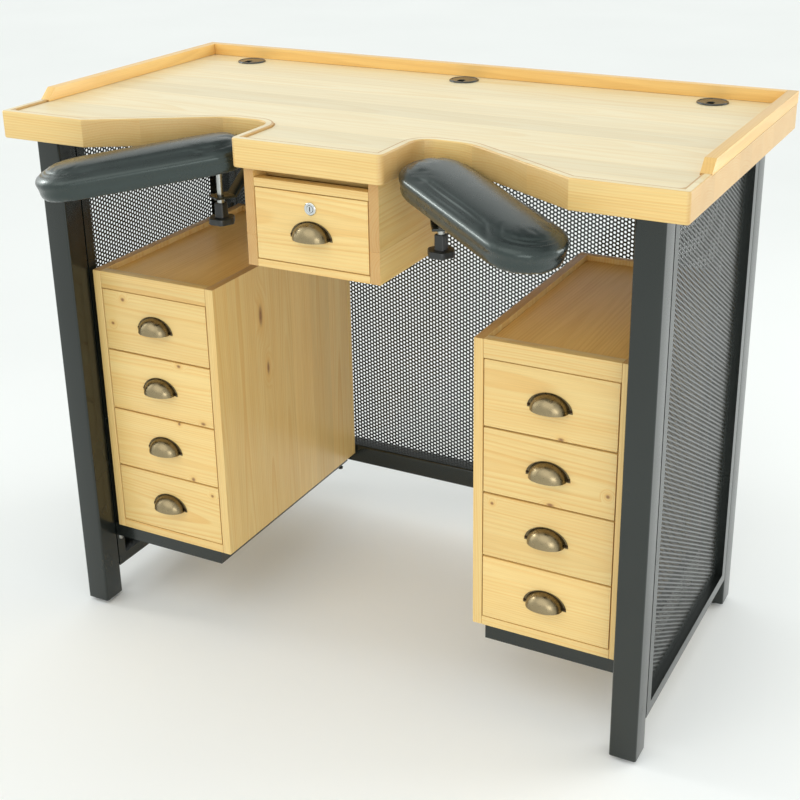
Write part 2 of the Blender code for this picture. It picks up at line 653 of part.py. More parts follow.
def make_cabinets(bench, wood, brass):
    """Two cabinets, each a carcass with a front rail, a back, a sunk top and a column of drawers."""
    half = CABINET_WIDTH / 2
    face = half - CABINET_BOARD
    back_face = CABINET_BACK - CABINET_BACK_BOARD
    behind_fronts = CABINET_FRONT + DRAWER_FRONT + DRAWER_REVEAL
    bay_height = BAY_PITCH - 2 * DRAWER_REVEAL
    drawer_depth = back_face - CABINET_FRONT - DRAWER_BACK_ROOM
    lift = RUNNER_LIFT + RUNNER_HEIGHT + GAP - DRAWER_REVEAL
    drawer = drawer_mesh(2 * (face - DRAWER_REVEAL), bay_height, drawer_depth, lift)
    pull = pull_mesh()
    for side, hand in ((-1, "left"), (1, "right")):
        middle = side * (CABINET_INNER_X + half)
        cabinet = add_empty(f"cabinet_{hand}", bench, (middle, 0, 0))
        carcass = prism(carcass_profile(), CABINET_FRONT, back_face - GAP, axis="Y")
        rail = block((-half + CABINET_BOARD / 2, CABINET_FRONT, BAY_HIGH),
                     (half - CABINET_BOARD / 2, CABINET_FRONT + CABINET_BOARD, CABINET_HEAD))
        doorway = block((-face, CABINET_FRONT - DRAWER_FRONT, BAY_LOW), (face, behind_fronts, BAY_HIGH))
        add_piece(f"cabinet_carcass_{hand}", combined(carcass, joined=[rail], cut=[doorway]), wood, cabinet)
        add_board(f"cabinet_back_{hand}", (-half, back_face, CABINET_FOOT),
                  (half, CABINET_BACK, CABINET_HEAD), wood, cabinet)
        top = CABINET_HEAD - CABINET_RIM
        add_board(f"cabinet_top_{hand}",
                  (-face + GAP, CABINET_FRONT + CABINET_BOARD + GAP, top - CABINET_TOP_BOARD),
                  (face - GAP, back_face - GAP, top), wood, cabinet)
        for number in range(1, DRAWERS + 1):
            foot = BAY_HIGH - number * BAY_PITCH + DRAWER_REVEAL
            slide = add_empty(f"cabinet_{hand}_slide_{number}", cabinet, (0, CABINET_FRONT, foot))
            add_piece(f"drawer_{hand}_{number}", drawer.copy(), wood, slide)
            add_piece(f"pull_{hand}_{number}", pull.copy(), brass, slide,
                      (0, -GAP, bay_height / 2 - PULL_DROP))


# Centre drawer

def make_centre_drawer(bench, wood, brass, chrome):
    """The drawer hung under the tongue, with its case, cup pull and cam lock."""
    half = CASE_WIDTH / 2
    face = half - CASE_BOARD
    back = CASE_FRONT + CASE_DEPTH
    outline = [(-half, CASE_FOOT), (half, CASE_FOOT), (half, CASE_HEAD), (face, CASE_HEAD),
               (face, CASE_BAY_LOW), (-face, CASE_BAY_LOW), (-face, CASE_HEAD), (-half, CASE_HEAD)]
    rail = block((-half + CASE_BOARD / 2, CASE_FRONT, CASE_BAY_HIGH),
                 (half - CASE_BOARD / 2, CASE_FRONT + CASE_RAIL_DEPTH, CASE_RAIL_TOP))
    wall = block((-half + CASE_BOARD / 2, back - DRAWER_SIDE, CASE_FOOT + CASE_BOTTOM_BOARD / 2),
                 (half - CASE_BOARD / 2, back, CASE_RAIL_TOP))
    case = combined(prism(outline, CASE_FRONT, back, axis="Y"), joined=[rail, wall])
    add_piece("centre_drawer_case", case, wood, bench)

    height = CASE_BAY_HIGH - CASE_BAY_LOW - 2 * DRAWER_REVEAL
    foot = CASE_BAY_LOW + DRAWER_REVEAL
    lock_height = CENTRE_DRAWER_MIDDLE + LOCK_ABOVE_MIDDLE - foot
    slide = add_empty("centre_drawer_slide", bench, (0, CASE_FRONT, foot))
    depth = CASE_DEPTH - DRAWER_SIDE - DRAWER_BACK_ROOM
    drawer = drawer_mesh(2 * (face - DRAWER_REVEAL), height, depth, GAP - DRAWER_REVEAL, lock_height)
    add_piece("centre_drawer", drawer, wood, slide)
    add_piece("pull_centre", pull_mesh(), brass, slide,
              (0, -GAP, CENTRE_DRAWER_MIDDLE - foot - CENTRE_PULL_DROP))

    axis = add_empty("lock_axis", slide, (0, 0, lock_height))
    tail = DRAWER_FRONT + LOCK_BARREL_TAIL
    bore = LOCK_PLUG / 2 + GAP
    body = [(bore, -LOCK_FACE_THICKNESS), (LOCK_FACE / 2 - LOCK_FACE_THICKNESS / 2, -LOCK_FACE_THICKNESS),
            (LOCK_FACE / 2, -LOCK_FACE_THICKNESS / 2), (LOCK_FACE / 2, -GAP), (LOCK_BARREL / 2, -GAP),
            (LOCK_BARREL / 2, tail), (bore, tail)]
    add_piece("lock_body", mesh_of(turned(body, axis="Y"), smooth=math.radians(40)), chrome, axis)
    end = DRAWER_FRONT + LOCK_PLUG_TAIL
    plug = prism(circle(LOCK_PLUG), -LOCK_FACE_THICKNESS, end, axis="Y")
    cam = block((-CAM_WIDTH / 2, end - CAM_THICKNESS, -CAM_WIDTH / 2),
                (CAM_LENGTH, end, CAM_WIDTH / 2))
    keyway = block((-KEYWAY_WIDTH / 2, -2 * LOCK_FACE_THICKNESS, -KEYWAY_LENGTH / 2),
                   (KEYWAY_WIDTH / 2, KEYWAY_DEPTH - LOCK_FACE_THICKNESS, KEYWAY_LENGTH / 2))
    add_piece("lock_plug", combined(plug, joined=[cam], cut=[keyway]), chrome, axis)


# Arm rests

def stadium(radius, straight):
    """Points round two half circles and the straight sides between them, about the inner circle's centre."""
    arc = [-math.pi / 2 + math.pi * step / 12 for step in range(13)]
    outer = [(straight + radius * math.cos(a), radius * math.sin(a)) for a in arc]
    sides = [straight * step / 4 for step in (3, 2, 1)]
    inner = [(-radius * math.cos(a), -radius * math.sin(a)) for a in arc]
    upper = [(x, radius) for x in sides]
    lower = [(x, -radius) for x in reversed(sides)]
    return outer + upper + inner + lower


def pad_sections():
    """Rings of a pad from its flat foot, out over drawn-in sides and in over its crown.

    The stud's axis is the pad's own Z axis, and the pad runs out along its own +X."""
    radius, straight = PAD_WIDTH / 2, PAD_LENGTH - PAD_WIDTH
    shoulder = PAD_THICKNESS - PAD_CROWN
    rings = []
    for step in range(PAD_SIDE_RINGS + 1):
        rise = step / PAD_SIDE_RINGS
        drawn_in = PAD_TUCK * (1 - rise) ** 3 + PAD_SHOULDER * rise ** 5
        rings.append((drawn_in, shoulder * rise))
    for step in range(1, PAD_CROWN_RINGS + 1):
        share = step / PAD_CROWN_RINGS
        drawn_in = PAD_SHOULDER + (radius * 0.85 - PAD_SHOULDER) * share
        rings.append((drawn_in, shoulder + PAD_CROWN * math.sin(share * math.pi / 2)))
    return [[(x, y, z) for x, y in stadium(radius - drawn_in, straight)] for drawn_in, z in rings]


def pad_heading(side):
    """Turn of a pad about the vertical, for its own +X to point outwards and forwards."""
    return -PAD_TURN if side > 0 else math.pi + PAD_TURN


def pads_front():
    """Y of the pads' foremost points, from the top's front edge."""
    turn = Matrix.Rotation(pad_heading(1), 3, "Z") @ Matrix.Rotation(PAD_TILT, 3, "Y")
    return PAD_Y + min((turn @ Vector(point)).y for ring in pad_sections() for point in ring)


def strip(path, thickness):
    """Outline of a bent strip whose upper face follows a path, with mitred bends."""
    path = [Vector(point) for point in path]
    runs = [(b - a).normalized() for a, b in zip(path, path[1:])]
    runs = [runs[0], *runs, runs[-1]]
    under = []
    for point, come, leave in zip(path, runs, runs[1:]):
        down = Vector((come.y, -come.x)) + Vector((leave.y, -leave.x))
        under.append(point + down * thickness / (1 + come.dot(leave)))
    return path + under[::-1]


def make_arm_rests(bench, leather, steel, plastic):
    """Two arm rests: a bracket under the top, a post that turns in it, a padded rest and a clamp knob."""
    pad = mesh_of(loft(pad_sections()), smooth=math.radians(50))
    plate_top = PAD_FOOT - GAP + STUD_BEHIND * math.sin(PAD_TURN) * math.tan(PAD_TILT)
    knob_top = BRACKET_LOW - GAP
    knob_low = knob_top - KNOB_BOSS - KNOB_HUB - KNOB_FLANGE
    riser_head = PAD_WIDTH / 2 + BRACKET_TO_PAD
    path = [(-BRACKET_NOSE, BRACKET_TOP), (BRACKET_RISER_START, BRACKET_TOP), (riser_head, FRAME_TOP),
            (riser_head + BRACKET_FLANGE, FRAME_TOP)]
    bracket_outline = strip(path, BRACKET_THICKNESS)

    def post_ring(diameter, height, tilt=0.0):
        """A ring of the post, tilted with the pad where it carries the pad."""
        return [(x, y, height - x * math.tan(tilt)) for x, y in circle(diameter)]

    post = loft([post_ring(STUD_DIAMETER, knob_low - STUD_TAIL), post_ring(STUD_DIAMETER, BRACKET_TOP + GAP),
                 post_ring(POST_DIAMETER, BRACKET_TOP + GAP),
                 post_ring(POST_DIAMETER, plate_top - POST_PLATE_THICKNESS, PAD_TILT),
                 post_ring(POST_PLATE, plate_top - POST_PLATE_THICKNESS, PAD_TILT),
                 post_ring(POST_PLATE, plate_top, PAD_TILT)])
    post = mesh_of(post, smooth=math.radians(40))

    def knob_ring(diameter, height, lobes=0.0):
        """A ring of the knob, waved into finger lobes where asked."""
        ring = []
        for step in range(FINE_STEPS):
            angle = 2 * math.pi * step / FINE_STEPS
            radius = diameter / 2 - lobes / 2 * (1 - math.cos(KNOB_LOBES * angle))
            ring.append((radius * math.cos(angle), radius * math.sin(angle), height))
        return ring

    bore = STUD_DIAMETER + 2 * GAP
    hub_low, hub_top = knob_low + KNOB_FLANGE, knob_top - KNOB_BOSS
    knob = loft([knob_ring(bore, knob_low), knob_ring(KNOB_FLANGE_DIAMETER, knob_low, KNOB_LOBE_DEPTH),
                 knob_ring(KNOB_FLANGE_DIAMETER, hub_low, KNOB_LOBE_DEPTH),
                 knob_ring(KNOB_HUB_DIAMETER, hub_low), knob_ring(KNOB_HUB_DIAMETER, hub_top),
                 knob_ring(KNOB_BOSS_DIAMETER, hub_top), knob_ring(KNOB_BOSS_DIAMETER, knob_top),
                 knob_ring(bore, knob_top)], around=True)
    knob = mesh_of(knob, smooth=math.radians(40))

    for side, hand in ((-1, "left"), (1, "right")):
        stud = add_empty(f"arm_rest_{hand}_axis", bench, (side * STUD_X, STUD_Y, 0))
        heading = pad_heading(side)
        add_piece(f"arm_pad_{hand}", pad.copy(), leather, stud, (0, -STUD_BEHIND, PAD_FOOT),
                  (0, PAD_TILT, heading))
        add_piece(f"arm_post_{hand}", post.copy(), steel, stud, rotation=(0, 0, heading))
        add_piece(f"arm_knob_{hand}", knob.copy(), plastic, stud)
        bar = prism(bracket_outline, -BRACKET_WIDTH / 2, BRACKET_WIDTH / 2, axis="Y")
        hole = prism(circle(STUD_DIAMETER + 2 * GAP), BRACKET_LOW - BRACKET_THICKNESS,
                     BRACKET_TOP + BRACKET_THICKNESS)
        towards_root = math.pi - BRACKET_TURN if side > 0 else BRACKET_TURN
        add_piece(f"arm_bracket_{hand}", combined(bar, cut=[hole]), steel, bench,
                  (side * STUD_X, STUD_Y, 0), (0, 0, towards_root))


def main():
    for obj in list(bpy.data.objects):
        bpy.data.objects.remove(obj)
    wood = make_material("lacquered_pine", (0.80, 0.56, 0.25), 0.38)
    pale_wood = make_material("lacquered_pine_top", (0.86, 0.72, 0.46), 0.35)
    steel = make_material("black_powder_coat", (0.035, 0.038, 0.036), 0.42)
    sheet = make_material("black_perforated_sheet", (0.04, 0.044, 0.042), 0.45)
    plastic = make_material("black_plastic", (0.03, 0.03, 0.028), 0.5)
    leather = make_material("black_leather", (0.012, 0.016, 0.017), 0.3)
    brass = make_material("aged_brass", (0.22, 0.16, 0.10), 0.3, 1.0)
    chrome = make_material("chrome", (0.75, 0.75, 0.75), 0.15, 1.0)

    bench = add_empty("bench", None, (0, -(pads_front() + TOP_DEPTH) / 2, 0))
    make_worktop(bench, pale_wood)
    make_top_rails(bench, wood)
    make_grommets(bench, plastic)
    make_legs(bench, steel, plastic)
    make_side_frames(bench, steel, sheet)
    make_back(bench, steel, sheet)
    make_supports(bench, steel)
    make_cabinets(bench, wood, brass)
    make_centre_drawer(bench, wood, brass, chrome)
    make_arm_rests(bench, leather, steel, plastic)


main()
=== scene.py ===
"""Looks of a watch repair bench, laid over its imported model; runs as a script in Blender 4.5."""
import math
import random

import bmesh
import bpy
import numpy as np
from mathutils import Euler, Matrix, Vector


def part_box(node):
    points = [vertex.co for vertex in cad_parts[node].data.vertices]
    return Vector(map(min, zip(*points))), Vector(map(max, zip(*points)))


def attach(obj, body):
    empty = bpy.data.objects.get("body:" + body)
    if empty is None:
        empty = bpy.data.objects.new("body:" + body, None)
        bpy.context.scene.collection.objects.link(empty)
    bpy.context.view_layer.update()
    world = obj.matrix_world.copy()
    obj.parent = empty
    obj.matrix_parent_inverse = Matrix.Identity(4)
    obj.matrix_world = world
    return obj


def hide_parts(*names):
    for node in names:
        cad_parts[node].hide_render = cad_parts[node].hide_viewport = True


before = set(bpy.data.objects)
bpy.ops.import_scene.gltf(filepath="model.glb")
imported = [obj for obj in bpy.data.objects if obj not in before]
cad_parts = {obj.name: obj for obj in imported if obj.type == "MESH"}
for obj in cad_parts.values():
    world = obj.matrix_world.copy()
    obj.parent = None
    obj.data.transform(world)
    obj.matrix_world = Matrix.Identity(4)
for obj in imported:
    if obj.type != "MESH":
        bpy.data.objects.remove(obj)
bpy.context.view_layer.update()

bl_info = {
    "name": "Watch repair bench",
    "version": (1, 0, 0),
    "blender": (4, 5, 0),
    "location": "3D View > Sidebar > Bench",
    "description": "Dresses the packed bench with wood, steel, brass and leatherette",
    "category": "Object",
}

TOP_LOW, TOP_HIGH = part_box("worktop")
FRONT = TOP_LOW.y                  # Y of the top's front edge
LIP_END = 0.0994                   # where the top's lip ends under the side rails, behind the front edge
GAP = 0.0002                       # between boards that meet
HANDS = (("left", -1), ("right", 1))
DRAWERS = (1, 2, 3, 4)
GROMMETS = ("left", "centre", "right")
NO_KNOT = (90, 90, 0)              # a place so far from a knot that none shows


def linear(code):
    """An sRGB hex colour as linear red, green and blue."""
    shares = [int(code[i:i + 2], 16) / 255 for i in (1, 3, 5)]
    return tuple(s / 12.92 if s <= 0.04045 else ((s + 0.055) / 1.055) ** 2.4 for s in shares)


def colour_of(name, description, code):
    """A colour setting."""
    return bpy.props.FloatVectorProperty(name=name, description=description, size=3, min=0, max=1,
                                         subtype="COLOR", default=linear(code))


def length_of(name, description, metres):
    """A length setting."""
    return bpy.props.FloatProperty(name=name, description=description, default=metres, min=0,
                                   precision=4, unit="LENGTH", subtype="DISTANCE")


def angle_of(name, description, degrees):
    """An angle setting."""
    return bpy.props.FloatProperty(name=name, description=description, default=math.radians(degrees),
                                   unit="ROTATION", subtype="ANGLE")


def strength_of(name, description, share):
    """A setting for how bright a light is, where 1 is white."""
    return bpy.props.FloatProperty(name=name, description=description, default=share, min=0)


def power_of(name, description, watts):
    """A setting for a lamp's power."""
    return bpy.props.FloatProperty(name=name, description=description, default=watts, min=0, unit="POWER")


class BenchColours(bpy.types.PropertyGroup):
    """Colours of the finishes"""
    # The top's two colours are paler than the pine of the slab's edges: painted light, for the light from
    # above on its upward faces.
    top_pale_lit: colour_of("Top, early wood", "Pale wood of the laminated top", "#F0E2BA")
    top_dark_lit: colour_of("Top, late wood", "Darker lines in the laminated top", "#E7CC92")
    pine_pale: colour_of("Pine, early wood", "Pale wood of the boards", "#EACD89")
    pine_dark: colour_of("Pine, late wood", "Darker lines in the boards", "#DDA958")
    # A warmer copy of the pine: on the cabinets' tops it is painted shade, for the wood-warmed shade under the
    # worktop; the rails take it too.
    pine_warm: colour_of("Pine, oiled", "Warmer pale wood of the rails and the cabinets' tops", "#F2C87A")
    pine_end: colour_of("Pine, end grain", "Sawn ends, which soak up more varnish", "#A8703A")
    knot: colour_of("Knots", "Middle of the knots", "#7A4C24")
    coat: colour_of("Powder coat", "Charcoal coat of the steel", "#131715")
    leather: colour_of("Leatherette", "Cover of the arm rests", "#121B1B")
    brass: colour_of("Aged brass", "Brown brass of the cup pulls", "#60553E")
    brass_worn: colour_of("Worn brass", "Brighter brass where hands rub it", "#98896A")
    chrome: colour_of("Chrome", "Plating of the lock", "#D5D8D8")
    zinc: colour_of("Zinc", "Plating of posts and bolts", "#B4B6B2")
    plastic: colour_of("Moulded plastic", "Knobs of the arm rests", "#232524")
    grommet: colour_of("Grommets", "Polished grommets of the top", "#3A3D39")
    foot: colour_of("Feet", "Moulded feet", "#3A3C3A")
    screw: colour_of("Screws", "Blackened screws in the pulls", "#3A2A1E")


class BenchSizes(bpy.types.PropertyGroup):
    """Sizes of the details"""
    slab_edge: length_of("Slab edge", "Radius along the slab's edges", 0.003)
    board_edge: length_of("Board edge", "Rounding along the edges of boards", 0.0012)
    hole_pitch: length_of("Hole pitch", "Spacing of the holes in the sheets", 0.008)
    hole_across: length_of("Hole width", "Width of the holes in the sheets", 0.005)
    sheet_margin: length_of("Sheet margin", "Plain border round the holes", 0.014)
    stave: length_of("Stave width", "Width of the strips glued into the top", 0.068)
    ring: length_of("Ring spacing", "Thickness of a year's wood", 0.0042)
    pad_length: length_of("Pad length", "Length of an arm pad", 0.350)
    pad_width: length_of("Pad width", "Width of an arm pad", 0.125)
    pad_thick: length_of("Pad thickness", "Thickness of an arm pad at its crown", 0.0535)
    pad_foot: length_of("Pad height", "Height of a pad's foot over the floor, at its stud", 0.906)
    pad_behind: length_of("Stud offset", "Stud, behind the middle of a pad's round end", 0.0065)
    pad_cap: length_of("Pad swell", "Farthest that the pressure may move the cover", 0.006)
    pad_tilt: angle_of("Pad tilt", "Slope of a pad, outer end down", 8.3)
    pad_turn: angle_of("Pad turn", "Turn of a pad from the front edge", 33.0)


class BenchLight(bpy.types.PropertyGroup):
    """Light and floor of the stage"""
    floor: colour_of("Floor", "Pale studio floor", "#FAFCFB")
    sky: strength_of("Sky", "Strength of the even light", 0.84)
    key: strength_of("Key", "Strength of the soft lamp in front", 0.56)
    panel: strength_of("Panel", "Strength of the soft panel that gloss shows on the left", 1.4)
    strip: power_of("Strip", "Power of the narrow lamp on the left", 3.5)
    fill: power_of("Fill", "Power of the soft lamp in front on the right", 5.0)
    side: power_of("Side", "Power of the lamp on the right", 21.0)


class BenchSettings(bpy.types.PropertyGroup):
    """All settings of the bench"""
    colours: bpy.props.PointerProperty(type=BenchColours, name="Colours",
                                       description="Colours of the finishes")
    sizes: bpy.props.PointerProperty(type=BenchSizes, name="Sizes", description="Sizes of the details")
    light: bpy.props.PointerProperty(type=BenchLight, name="Light", description="Light and floor")


def settings():
    """The bench's settings in this scene."""
    return bpy.context.scene.watch_bench


# Shader nodes

MIX = {"data_type": "RGBA"}
SMOOTH = {"interpolation_type": "SMOOTHSTEP"}
MID_NOISE = {"From_Min": 0.3, "From_Max": 0.7}      # the range that nearly all of a noise lies in


def add(tree, kind, having=None, **links):
    """Add a node with its settings; each link is a value, a node, or a node and its output's name or place.

    A socket is named, with _ for a blank, or given as s0, s1 and so on by its place."""
    made = tree.nodes.new("ShaderNode" + kind)
    for name, value in (having or {}).items():
        setattr(made, name, value)
    for name, source in links.items():
        spot = int(name[1:]) if name[0] == "s" and name[1:].isdigit() else name.replace("_", " ")
        socket = made.inputs[spot]
        if isinstance(source, tuple) and isinstance(source[0], bpy.types.Node):
            tree.links.new(source[0].outputs[source[1]], socket)
        elif isinstance(source, bpy.types.Node):
            tree.links.new(source.outputs[0], socket)
        else:
            socket.default_value = source
    return made


def blank(name):
    """A new material and its empty tree."""
    material = bpy.data.materials.new(name)
    material.use_nodes = True
    material.node_tree.nodes.clear()
    return material, material.node_tree


def rgba(colour):
    """A colour with full alpha."""
    return (*colour, 1.0)


def cells(*millimetres):
    """Texture scales that make a pattern's cells this wide; the coordinates are in metres."""
    scales = tuple(1000 / width for width in millimetres)
    return scales if len(scales) > 1 else scales[0]


def stave_places(tree, grain, width):
    """Each stave's own place in a tree, and a random tone for it.

    A stave starts somewhere in 9 m of tree, up to 25 mm beside the pith and 30 to 80 mm over it."""
    reach, aside, closest, farthest = 9.0, 0.025, 0.03, 0.08
    parts = add(tree, "SeparateXYZ", s0=grain)
    count = add(tree, "Math", {"operation": "DIVIDE"}, s0=(parts, "Y"), s1=width)
    index = add(tree, "Math", {"operation": "FLOOR"}, s0=count)
    chance = add(tree, "TexWhiteNoise", {"noise_dimensions": "1D"}, W=index)
    within = add(tree, "Math", {"operation": "SUBTRACT"}, s0=count, s1=index)
    across = add(tree, "Math", {"operation": "MULTIPLY_ADD"}, s0=within, s1=width, s2=-width / 2)
    shift = add(tree, "VectorMath", {"operation": "MULTIPLY_ADD"}, s0=(chance, "Color"),
                s1=(reach, 2 * aside, farthest - closest), s2=(0.0, -aside, closest))
    local = add(tree, "CombineXYZ", X=(parts, "X"), Y=across, Z=(parts, "Z"))
    joined = add(tree, "VectorMath", {"operation": "ADD"}, s0=local, s1=shift)
    return (joined, 0), (chance, "Value")


def knot_distance(tree):
    """How far a point is from the nearer of its board's knots, where 1 is the knot's own edge."""
    far = []
    for attribute in ("knot_a", "knot_b"):
        spot = add(tree, "Attribute", {"attribute_name": attribute})
        away = add(tree, "VectorMath", {"operation": "LENGTH"}, s0=(spot, "Vector"))
        far.append((away, "Value"))
    return add(tree, "Math", {"operation": "MINIMUM"}, s0=far[0], s1=far[1])


def late_wood(tree, grain, near):
    """The share of dark late wood at a point, in year rings round the pith.

    The rings wander by up to 13 mm over 0.77 m of length, lean 12 mm in each metre, and are pushed aside by
    12 mm at a knot."""
    wander, lean, aside = 0.013, 0.012, 0.012
    slow = add(tree, "Mapping", Vector=grain, Scale=cells(769.2, 111.1, 111.1))
    drift = add(tree, "TexNoise", Vector=slow, Scale=1.0, Detail=2.0, Roughness=0.45)
    swing = add(tree, "VectorMath", {"operation": "MULTIPLY_ADD"}, s0=(drift, "Color"),
                s1=(0.0, 2 * wander, 2 * wander), s2=(0.0, -wander, -wander))
    bent = add(tree, "VectorMath", {"operation": "ADD"}, s0=grain, s1=swing)
    flat = add(tree, "VectorMath", {"operation": "MULTIPLY"}, s0=bent, s1=(0.0, 1.0, 1.0))
    radius = add(tree, "VectorMath", {"operation": "LENGTH"}, s0=flat)
    lengthwise = add(tree, "SeparateXYZ", s0=grain)
    taper = add(tree, "Math", {"operation": "MULTIPLY_ADD"}, s0=(lengthwise, "X"), s1=lean,
                s2=(radius, "Value"))
    push = add(tree, "MapRange", SMOOTH, Value=near, From_Min=0.6, From_Max=4.5, To_Min=aside, To_Max=0.0)
    pushed = add(tree, "Math", {"operation": "ADD"}, s0=taper, s1=push)
    year = add(tree, "Math", {"operation": "DIVIDE"}, s0=pushed, s1=settings().sizes.ring)
    part = add(tree, "Math", {"operation": "FRACT"}, s0=year)
    number = add(tree, "Math", {"operation": "FLOOR"}, s0=year)
    vigour = add(tree, "TexWhiteNoise", {"noise_dimensions": "1D"}, W=number)
    growth = add(tree, "MapRange", SMOOTH, Value=part, From_Min=0.25, From_Max=0.86)
    winter = add(tree, "MapRange", SMOOTH, Value=part, From_Min=0.9, From_Max=1.0, To_Min=1.0, To_Max=0.0)
    line = add(tree, "Math", {"operation": "MULTIPLY"}, s0=growth, s1=winter)
    force = add(tree, "MapRange", Value=(vigour, "Value"), To_Min=0.15, To_Max=0.6)
    return add(tree, "Math", {"operation": "MULTIPLY"}, s0=line, s1=force)


def pine(name, pale, dark, staves=0.0):
    """Pine, planed, sanded and varnished: year rings cut by the board's faces, fine fibres, a satin film.

    The point attribute grain holds a place in the tree, in metres, with the pith along its X axis, so
    faces show long figure and ends show arcs. A top glued from staves finds each stave's place itself."""
    material, tree = blank(name)
    colours = settings().colours
    grain = (add(tree, "Attribute", {"attribute_name": "grain"}), "Vector")
    tone = (add(tree, "Attribute", {"attribute_name": "tint"}), "Fac")
    if staves:
        grain, tone = stave_places(tree, grain, staves)
    near = knot_distance(tree)
    late = late_wood(tree, grain, near)
    # Fibres are about 0.05 mm wide; they are drawn 1 mm wide so that they show.
    thread = add(tree, "Mapping", Vector=grain, Scale=cells(71.43, 1.0, 1.0))
    fibre = add(tree, "TexNoise", Vector=thread, Scale=1.0, Detail=2.0, Roughness=0.6)
    # Streaks of darker wood are about 330 mm long and 22 mm wide.
    broad = add(tree, "Mapping", Vector=grain, Scale=cells(333.3, 22.22, 22.22))
    streak = add(tree, "TexNoise", Vector=broad, Scale=1.0, Detail=3.0, Roughness=0.5)
    wood = add(tree, "Mix", MIX, s0=late, s6=rgba(pale), s7=rgba(dark))
    streaks = add(tree, "MapRange", Value=streak, From_Min=0.3, From_Max=0.75, To_Min=0.0, To_Max=0.35)
    warm = add(tree, "Mix", MIX, s0=streaks, s6=(wood, 2), s7=rgba(dark))
    threads = add(tree, "MapRange", Value=fibre, From_Min=0.35, From_Max=0.75, To_Min=1.04, To_Max=0.93)
    tones = add(tree, "MapRange", Value=tone, To_Min=0.93, To_Max=1.05)
    shade = add(tree, "Math", {"operation": "MULTIPLY"}, s0=threads, s1=tones)
    toned = add(tree, "VectorMath", {"operation": "SCALE"}, s0=(warm, 2), Scale=shade)
    # Sawn ends drink the varnish and go redder and darker.
    sawn = add(tree, "Attribute", {"attribute_name": "end_grain"})
    ends = add(tree, "Math", {"operation": "MULTIPLY"}, s0=(sawn, "Fac"), s1=0.55)
    with_ends = add(tree, "Mix", MIX, s0=ends, s6=toned, s7=rgba(colours.pine_end))
    # A knot has a dark ringed heart, and a halo of late wood.
    phase = add(tree, "Math", {"operation": "MULTIPLY"}, s0=near, s1=14.0)
    ring_of_knot = add(tree, "Math", {"operation": "SINE"}, s0=phase)
    heart = add(tree, "MapRange", SMOOTH, Value=near, From_Min=0.25, From_Max=1.5, To_Min=0.85, To_Max=0.0)
    halo = add(tree, "MapRange", SMOOTH, Value=near, From_Min=1.0, From_Max=3.2, To_Min=0.4, To_Max=0.0)
    glow = add(tree, "Mix", MIX, s0=halo, s6=(with_ends, 2), s7=rgba(dark))
    lighter = add(tree, "MapRange", Value=ring_of_knot, From_Min=-1.0, To_Min=0.8, To_Max=1.3)
    middle = add(tree, "VectorMath", {"operation": "SCALE"}, s0=tuple(colours.knot), Scale=lighter)
    final = add(tree, "Mix", MIX, s0=heart, s6=(glow, 2), s7=middle)
    height = add(tree, "Math", {"operation": "MULTIPLY_ADD"}, s0=late, s1=0.6, s2=fibre)
    bump = add(tree, "Bump", Strength=0.12, Distance=0.0004, Height=height)
    sheen = add(tree, "MapRange", Value=fibre, To_Min=0.34, To_Max=0.5)
    surface = add(tree, "BsdfPrincipled", Base_Color=(final, 2), Roughness=sheen, IOR=1.5, Normal=bump,
                  Coat_Weight=0.25, Coat_Roughness=0.22)
    add(tree, "OutputMaterial", Surface=surface)
    return material


def powder_coat(name):
    """Steel, powder coated: charcoal, half gloss, with a fine orange peel that breaks up reflections."""
    material, tree = blank(name)
    where = add(tree, "TexCoord")
    # The peel is about 0.8 mm across; it is drawn 1.6 mm across so that it shows.
    peel = add(tree, "TexNoise", Vector=(where, "Object"), Scale=cells(1.613), Detail=1.0)
    cloud = add(tree, "TexNoise", Vector=(where, "Object"), Scale=cells(111.1), Detail=3.0)
    tone = add(tree, "MapRange", Value=cloud, **MID_NOISE, To_Min=0.85, To_Max=1.15)
    colour = add(tree, "VectorMath", {"operation": "SCALE"}, s0=tuple(settings().colours.coat), Scale=tone)
    gloss = add(tree, "MapRange", Value=cloud, **MID_NOISE, To_Min=0.21, To_Max=0.28)
    bump = add(tree, "Bump", Strength=0.1, Distance=0.0003, Height=peel)
    surface = add(tree, "BsdfPrincipled", Base_Color=colour, Roughness=gloss, IOR=1.52, Normal=bump,
                  Specular_IOR_Level=0.48, Specular_Tint=(0.93, 1.0, 0.96, 1.0), Coat_Weight=0.3,
                  Coat_Roughness=0.15)
    add(tree, "OutputMaterial", Surface=surface)
    return material


def leatherette(name):
    """Cloth coated with soft vinyl and embossed: small flat grains with creases between, an even shine."""
    material, tree = blank(name)
    where = add(tree, "TexCoord")
    # Embossed grains are about 1.2 mm across.
    grains = add(tree, "TexVoronoi", {"feature": "DISTANCE_TO_EDGE"}, Vector=(where, "Object"),
                 Scale=cells(1.176))
    creases = add(tree, "MapRange", Value=grains, From_Max=0.12)
    # Handling leaves duller and shinier patches, about 30 mm across.
    wear = add(tree, "TexNoise", Vector=(where, "Object"), Scale=cells(28.57), Detail=4.0, Roughness=0.6)
    tone = add(tree, "MapRange", Value=wear, **MID_NOISE, To_Min=0.8, To_Max=1.25)
    colour = add(tree, "VectorMath", {"operation": "SCALE"}, s0=tuple(settings().colours.leather),
                 Scale=tone)
    gloss = add(tree, "MapRange", Value=wear, **MID_NOISE, To_Min=0.24, To_Max=0.33)
    bump = add(tree, "Bump", Strength=0.1, Distance=0.0002, Height=creases)
    surface = add(tree, "BsdfPrincipled", Base_Color=colour, Roughness=gloss, IOR=1.54, Normal=bump,
                  Specular_Tint=(0.80, 1.0, 0.93, 1.0), Coat_Weight=0.5, Coat_Roughness=0.26)
    add(tree, "OutputMaterial", Surface=surface)
    return material


